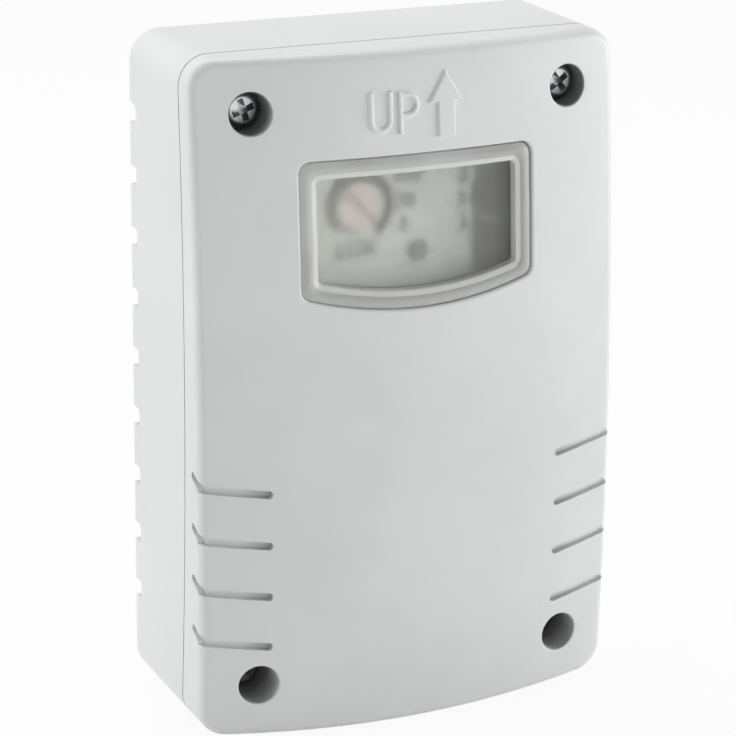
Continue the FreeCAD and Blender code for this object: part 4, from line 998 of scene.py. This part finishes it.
def tracks():
    """Tracks under the coat, each a path (x, z) with its width, and not closed."""
    paths = (  # in millimetres
        (1.6, (-11.43, -13.2), (-11.43, -12.8), (-10.4, -11.7), (-10.4, 7.2)),
        (1.2, (-3.81, -6.0), (-3.81, 6.6), (-6.2, 9.1), (-18.0, 9.1)),
        (1.2, (2.75, -1.0), (2.75, 8.0), (8.8, 10.5), (26.6, 10.5)),
        (1.0, (6.25, -1.0), (9.2, -1.0), (10.6, -2.8), (12.6, -3.9)),
        (0.9, (13.0, 6.4), (13.0, 9.2)), (0.9, (15.9, 6.4), (18.8, 6.4)),
        (0.9, (21.7, 6.4), (21.7, 8.5), (19.2, 9.8)),
        (0.9, (12.6, -12.15), (15.5, -12.15)), (0.9, (18.4, -12.15), (21.3, -12.15)),
        (0.9, (15.5, -3.95), (15.9, -2.85)), (0.9, (18.4, -3.95), (18.8, -2.85)),
        (0.9, (21.3, -3.95), (21.7, -2.85)),
        (1.0, (-23.0, 4.7), (-23.0, 8.8), (-26.2, 11.6), (-26.2, 16.6)),
        (1.0, (-20.0, 4.7), (-20.0, 7.8), (-21.6, 9.4), (-21.6, 11.8)),
        (1.6, (-28.8, -14.0), (-28.8, -17.2), (-26.2, -19.0)),
        (1.6, (26.6, -14.0), (26.6, -16.5), (23.6, -19.0), (17.2, -19.0)))
    return [(MM * np.array(path), MM * width, False) for width, *path in paths]


def outlines():
    """Printed outlines round the parts of the board."""
    made = []
    for node, room in (("relay", 0.0005), ("dropper_capacitor", 0.0005),
                       ("terminal_block", 0.0005), ("fuse_clips", 0.0006)):
        low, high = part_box(node)
        made.append(box_points((low.x + high.x) / 2, (low.z + high.z) / 2,
                               (high.x - low.x) / 2 + room, (high.z - low.z) / 2 + room))
    x, _, z = centre_of("smoothing_capacitor")
    made.append(arc_points(x, z, 0.0045, 0, 352.5, 48))
    x, _, z = centre_of("varistor")
    made.append(box_points(x, z, 0.0039, 0.0021, 0.0019))
    made += [box_points(first + ROW_STEP * k, centre_of(node).z, half_x, half_z, 0.0002)
             for node, first, _, half_x, half_z in ROWS for k in range(ROW_COUNT)]
    made += [arc_points(x, z, 0.0029, 0, 350, 40)
             for x, z in ((-0.0275, -0.0225), (0.0275, -0.0225), (-0.0275, 0.0196),
                          (0.0275, 0.0196))]
    return [(points, 0.00022, True) for points in made]


def laminate():
    """Woven glass laminate under a green coat: a fine weave in relief and a cloudy coat."""
    made = Finish("coated_laminate", shade("laminate"), 0.30, IOR=1.5, Coat_Weight=0.35,
                  Coat_Roughness=0.12)
    made.patchy((160.0, 4.0, 0.6), (0.8, 1.25), (0.24, 0.40))
    warp, weft = (made.node("ShaderNodeTexWave", {"Scale": 320.0, "Vector": made.coordinates},
                            bands_direction=way, wave_type="BANDS").outputs["Fac"]
                  for way in ("X", "Z"))
    made.relief(made.math("MULTIPLY", warp, weft), 0.00001, 0.4)
    return made.material


def coated_copper():
    """Copper under the board's coat."""
    made = Finish("coated_copper", shade("copper"), 0.28, IOR=1.5, Coat_Weight=0.3)
    made.patchy((240.0, 3.0), (0.85, 1.15), (0.24, 0.36))
    return made.material


class TWILIGHT_OT_board(bpy.types.Operator):
    """Finish the circuit board with its tracks and printed outlines"""

    bl_idname = "twilight.board"
    bl_label = "Circuit board"

    def execute(self, context):
        dress(laminate(), "circuit_board")
        front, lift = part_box("circuit_board")[0].y, sizes().track_lift
        coat(strips("board_tracks", tracks(), front - lift, front), coated_copper())
        coat(strips("board_outlines", outlines(), front - 1.5 * lift, front),
             printed("board_legend", shade("legend")))
        drop = turned("drop", [(0.0, 0.0), (0.00080, 0.0), (0.00074, 0.00006), (0.00050, 0.00016),
                               (0.00040, 0.00034), (0.0, 0.00036)], 20)
        places = [(first + ROW_STEP * k, front, centre_of(node).z + side * reach, 0.0)
                  for node, first, reach, *_ in ROWS for k in range(ROW_COUNT)
                  for side in (-1, 1)]
        places += [(0.0045 + side * 0.00175, front, centre_of("varistor").z, 0.0)
                   for side in (-1, 1)]
        joints = repeated("solder_joints", drop, places)
        bpy.data.objects.remove(drop)
        soften(joints, 50)
        coat(joints, plated("solder", shade("tin"), 0.22))
        return {"FINISHED"}


# Controls

def panel_prints(lift):
    """Print on the panel: a scale that widens round the light dial, its figures and the unit, and
    pale strokes and dark figures beside the time dial; with painted shade, a dark field of ink
    round the time dial that stands in for the shade on the right of the panel."""
    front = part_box("control_panel")[0].y
    light, time = (np.array([centre_of(node).x, centre_of(node).z])
                   for node in ("lux_dial", "time_dial"))
    way = arc_points(0.0, 0.0, 1.0, 235, -55, 80)
    wide = 0.00490 + 0.00155 * np.linspace(0, 1, 80)[:, None] ** 0.8
    scale = plate("scale", light + DIAL_EDGE * way, light + wide * way, front - lift, front,
                  closed=False)
    # Painted shade: the dark field of ink out to these bounds stands in for the shade on the right
    # of the panel, round the time dial.
    low, high = np.array([0.0136, 0.0147]) - time, np.array([0.0232, 0.0374]) - time
    way = np.stack(circle(96), -1)
    filled = np.where(way > 0, way / high, way / low).max(1)
    reach = np.maximum(1 / np.maximum(filled, 1e-6), 0.00475)
    field = plate("field", time + DIAL_EDGE * way, time + reach[:, None] * way, front - lift,
                  front)
    text = figures("light_figures", [
        ("300", 0.0022, 0.0322, 0.0024), ("30", 0.0018, 0.0281, 0.0024),
        ("3", 0.0013, 0.0243, 0.0024), ("LUX", -0.0066, 0.0210, 0.0026),
        ("8", 0.0118, 0.0311, 0.0026), ("5", 0.0116, 0.0273, 0.0026),
        ("3", 0.0118, 0.0234, 0.0026)], front - lift / 2, lift)
    coat(gathered("panel_print", [scale, field, text]), printed("panel_ink", shade("ink"), 0.12))
    strokes = [(time + np.outer((0.0050, 0.0057), (math.cos(a), math.sin(a))), 0.0004, False)
               for a in np.radians(np.linspace(-70, 70, 8))]
    coat(strips("dial_strokes", strokes, front - 2 * lift, front - lift),
         printed("panel_strokes", shade("panel"), 0.08))


def resin(name, base):
    """Cast resin: glossy, with a cloudy heart that darkens to the flange, on tinned leads."""
    made = Finish(name, base, 0.14, IOR=1.5, Coat_Weight=0.5, Coat_Roughness=0.05,
                  Subsurface_Weight=0.25, Subsurface_Scale=0.0006)
    body = made.blend(made.spread(made.axis(INWARDS), 0.0, 1.0, -0.0195, -0.0165),
                      made.clouded(made.noise(700.0, 3.0), 0.8, 1.2), darker(base, 0.45))
    made.bared(made.behind(-0.01615), body, shade("tin"), 0.14)
    made.relief(made.noise(2500.0, 1.0), 0.000006, 0.3)
    return made.material


class TWILIGHT_OT_controls(bpy.types.Operator):
    """Finish the control panel, its dials, its sensor and its lamp"""

    bl_idname = "twilight.controls"
    bl_label = "Panel, dials and sensor"

    def execute(self, context):
        dress(moulded("panel_plastic", shade("panel"), 0.45, mottle=90.0), "control_panel")
        panel_prints(sizes().print_lift)
        dress(moulded("light_dial", shade("light_dial"), 0.40, mottle=300.0), "lux_dial")
        dress(moulded("dark_dial", shade("dark_dial"), 0.38, mottle=300.0), "time_dial")
        dress(moulded("potentiometer_blue", (0.03, 0.09, 0.30), 0.38, mottle=400.0),
              "lux_potentiometer", "time_potentiometer")
        dress(moulded("spacer_black", (0.035, 0.035, 0.037), 0.5, mottle=300.0),
              "sensor_spacer", "lamp_spacer")
        dress(resin("sensor_resin", (0.20, 0.185, 0.17)), "light_sensor")
        dress(resin("lamp_resin", (0.62, 0.06, 0.045)), "indicator_lamp")
        return {"FINISHED"}


# Power supply

def can_finish():
    """A shrunk sleeve with a pale stripe down one side, open at the front, where the bare can
    shows with a cross pressed into it."""
    x, _, z = centre_of("smoothing_capacitor")
    made = Finish("can_sleeve", (0.03, 0.045, 0.12), 0.25, IOR=1.5, Coat_Weight=0.3)
    stripe = made.math("LESS_THAN", made.axis(ACROSS), x - 0.0029)
    sleeve = made.blend(stripe, made.clouded(made.noise(200.0, 3.0), 0.85, 1.15),
                        (0.55, 0.58, 0.62))
    away = made.math("ADD", made.squared(made.axis(ACROSS), x),
                     made.squared(made.axis(UPWARDS), z))
    disc = made.math("LESS_THAN", away, 0.0032 ** 2)
    front = made.math("LESS_THAN", made.axis(INWARDS),
                      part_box("smoothing_capacitor")[0].y + 0.00006)
    made.bared(made.math("MULTIPLY", disc, front), sleeve, (0.72, 0.73, 0.74), 0.25, 0.34)
    cross = made.math("MAXIMUM", made.within(ACROSS, x, 0.00016), made.within(UPWARDS, z, 0.00016))
    made.relief(made.math("MULTIPLY", cross, front), 0.00012, invert=True)
    made.relief(made.noise(2600.0, 2.0), 0.000006, 0.3)
    return made.material


def fuse():
    """The fuse: a glass tube, a metal cap on each end, and a fine wire between them. The tube
    and caps are profiles turned about the fuse's axis, the wire is a thin wavy bar."""
    low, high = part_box("fuse")
    x, y, _ = centre_of("fuse")
    glass, metal = 0, 1

    def spun(name, profile, stuff, closed):
        r, z = np.hsplit(np.array(profile), 2)
        cos, sin = circle(48)
        rows = np.stack([x + r * cos, y + r * sin, z + 0 * cos], -1)
        return surface(name, rows, closed, ends=False, stuff=stuff)

    parts = [spun("tube", [(0.0025, low.z + 0.001), (0.0025, high.z - 0.001),
                           (0.00205, high.z - 0.001), (0.00205, low.z + 0.001)], glass, True)]
    cap = [(0.0, 0.0), (0.0021, 0.0), (0.0025, 0.00012), (0.0026, 0.0005), (0.0026, 0.00485),
           (0.00257, 0.005), (0.00251, 0.005), (0.00251, 0.0009), (0.0, 0.0009)]
    for end, way in ((low.z, 1), (high.z, -1)):
        parts.append(spun("cap", [(r, end + way * along) for r, along in cap], metal, False))
    t, (cos, sin) = np.linspace(0, 1, 60)[:, None], circle(8)
    sway, bow = 0.0005 * np.sin(9 * math.pi * t) * np.sin(math.pi * t), np.sin(math.pi * t)
    along = low.z + 0.0008 + t * (high.z - low.z - 0.0016)
    rows = np.stack([x + sway + 0.00011 * cos, y + 0.0003 * bow + 0.00011 * sin, along + 0 * cos],
                    -1)
    parts.append(surface("wire", rows, stuff=metal))
    clear = Finish("fuse_glass", (0.95, 0.97, 0.96), 0.03, IOR=1.5, Transmission_Weight=1.0)
    clear.gloss(clear.noise(900.0, 2.0), 0.02, 0.06)
    clear.relief(clear.noise(300.0, 2.0), 0.00001, 0.15)
    made = gathered("fuse_link", parts)
    soften(made, 30)
    finish(made, "housing",
           [clear.material, plated("cap_nickel", (0.74, 0.72, 0.68), 0.24)], ["fuse"])


def symbols():
    """A plain circuit symbol printed on the relay, and a plain mark on the film capacitor."""
    coil, contact, ink = -0.004, 0.003, 0.00003
    x, _, z = centre_of("relay")
    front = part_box("relay")[0].y
    place = np.array([x, z])
    lines = [(box_points(x + coil, z, 0.0016, 0.0032, 0.0002, 3), 0.00028, True)]
    lines += [(place + path, 0.00028, False) for path in (
        [[coil, 0.0032], [coil, 0.0051]], [[coil, -0.0032], [coil, -0.0051]],
        [[contact, -0.0051], [contact, -0.0018], [0.0047, 0.0022]],
        [[contact, 0.0051], [contact, 0.0020]])]
    lines += [(arc_points(x + contact, z + side * 0.0051, 0.0005, 0, 337, 16), 0.00022, True)
              for side in (-1, 1)]
    coat(strips("relay_symbol", lines, front - ink, front),
         printed("relay_print", shade("legend")))
    x, _, z = centre_of("dropper_capacitor")
    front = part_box("dropper_capacitor")[0].y
    lines = [(np.array([x, z]) + path, 0.0003, False) for path in (
        [[-0.0036, 0], [-0.0006, 0]], [[-0.0006, -0.0018], [-0.0006, 0.0018]],
        [[0.0006, -0.0018], [0.0006, 0.0018]], [[0.0006, 0], [0.0036, 0]])]
    coat(strips("capacitor_symbol", lines, front - ink, front),
         printed("capacitor_print", (0.05, 0.04, 0.03)))


class TWILIGHT_OT_power(bpy.types.Operator):
    """Finish the relay, the capacitors, the varistor, the fuse and its clips"""

    bl_idname = "twilight.power"
    bl_label = "Relay and power supply"

    def execute(self, context):
        dress(moulded("relay_case", (0.035, 0.04, 0.05), 0.33, mottle=150.0), "relay")
        dress(moulded("capacitor_case", (0.62, 0.42, 0.06), 0.36, mottle=200.0),
              "dropper_capacitor")
        dress(can_finish(), "smoothing_capacitor")
        dress(leaded("varistor_coat", (0.03, 0.10, 0.32), 0.28, rear=-0.01145), "varistor")
        fuse()
        symbols()
        dress(plated("clip_brass", (0.78, 0.66, 0.38), 0.3), "fuse_clips")
        return {"FINISHED"}


# Small parts

class TWILIGHT_OT_small_parts(bpy.types.Operator):
    """Finish the diodes, the resistors, the chip and the transistor"""

    bl_idname = "twilight.small_parts"
    bl_label = "Small board parts"

    def execute(self, context):
        level = centre_of("rectifier_diodes").z
        dress(leaded("diode_case", (0.03, 0.03, 0.032), 0.40, (level, 0.00252),
                     bands=[(level + 0.0016, 0.00038, (0.62, 0.62, 0.60))]), "rectifier_diodes")
        middle, _, level = centre_of("resistors")
        thin = 0.00025
        dress(leaded("resistor_coat", (0.38, 0.52, 0.62), 0.35, (level, 0.00302), bands=[
            (level - 0.00215, thin, (0.16, 0.06, 0.03)),
            (level - 0.00115, thin, (0.02, 0.02, 0.02)),
            (level - 0.00115, thin, (0.40, 0.03, 0.02), middle),
            (level - 0.00015, thin, (0.60, 0.16, 0.02)),
            (level - 0.00015, thin, (0.55, 0.42, 0.03), middle),
            (level + 0.0020, thin, (0.45, 0.31, 0.08))]), "resistors")
        dress(leaded("chip_epoxy", (0.025, 0.025, 0.027), 0.5,
                     (centre_of("control_chip").z, 0.00321), -0.0103), "control_chip")
        dress(leaded("transistor_epoxy", (0.028, 0.028, 0.03), 0.5, rear=-0.01225),
              "driver_transistor")
        return {"FINISHED"}


# Terminals

class TWILIGHT_OT_terminals(bpy.types.Operator):
    """Finish the terminal block, its clamps and its screws"""

    bl_idname = "twilight.terminals"
    bl_label = "Terminals"

    def execute(self, context):
        dress(moulded("terminal_green", (0.05, 0.22, 0.11), 0.42, mottle=150.0), "terminal_block")
        dress(plated("clamp_tin", shade("tin"), 0.35), "terminal_clamps")
        dress(plated("terminal_zinc", shade("zinc"), 0.28), "terminal_screws")
        low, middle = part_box("terminal_block")[0], centre_of("terminal_block").x
        poles, pitch = 4, 0.00762
        coat(figures("pole_figures", [
            (str(pole + 1), middle + (pole - (poles - 1) / 2) * pitch, low.z + 0.0014, 0.0017)
            for pole in range(poles)], low.y - 0.000015, 0.00003),
            printed("pole_print", shade("legend")))
        return {"FINISHED"}


OPERATORS = (
    TWILIGHT_OT_stage, TWILIGHT_OT_enclosure, TWILIGHT_OT_window, TWILIGHT_OT_screws,
    TWILIGHT_OT_entries, TWILIGHT_OT_board, TWILIGHT_OT_controls, TWILIGHT_OT_power,
    TWILIGHT_OT_small_parts, TWILIGHT_OT_terminals,
)


class TWILIGHT_PT_switch(bpy.types.Panel):
    """Lists the steps that dress the switch, and its sizes and colours"""

    bl_idname = "TWILIGHT_PT_switch"
    bl_label = "Twilight switch"
    bl_space_type = "VIEW_3D"
    bl_region_type = "UI"
    bl_category = "Switch"

    def draw(self, context):
        column = self.layout.column(align=True)
        for step in OPERATORS:
            column.operator(step.bl_idname)
        for group in (sizes(), colours()):
            box = self.layout.box()
            for key in group.bl_rna.properties.keys():
                if key not in ("rna_type", "name"):
                    box.prop(group, key)


CLASSES = (TwilightSwitchSizes, TwilightSwitchColours, *OPERATORS, TWILIGHT_PT_switch)


def register():
    for item in CLASSES:
        bpy.utils.register_class(item)
    bpy.types.Scene.twilight_sizes = bpy.props.PointerProperty(type=TwilightSwitchSizes)
    bpy.types.Scene.twilight_colours = bpy.props.PointerProperty(type=TwilightSwitchColours)


def unregister():
    del bpy.types.Scene.twilight_colours
    del bpy.types.Scene.twilight_sizes
    for item in reversed(CLASSES):
        bpy.utils.unregister_class(item)


def main():
    register()
    for step in OPERATORS:
        group, name = step.bl_idname.split(".")
        getattr(getattr(bpy.ops, group), name)()


if __name__ == "__main__":
    main()
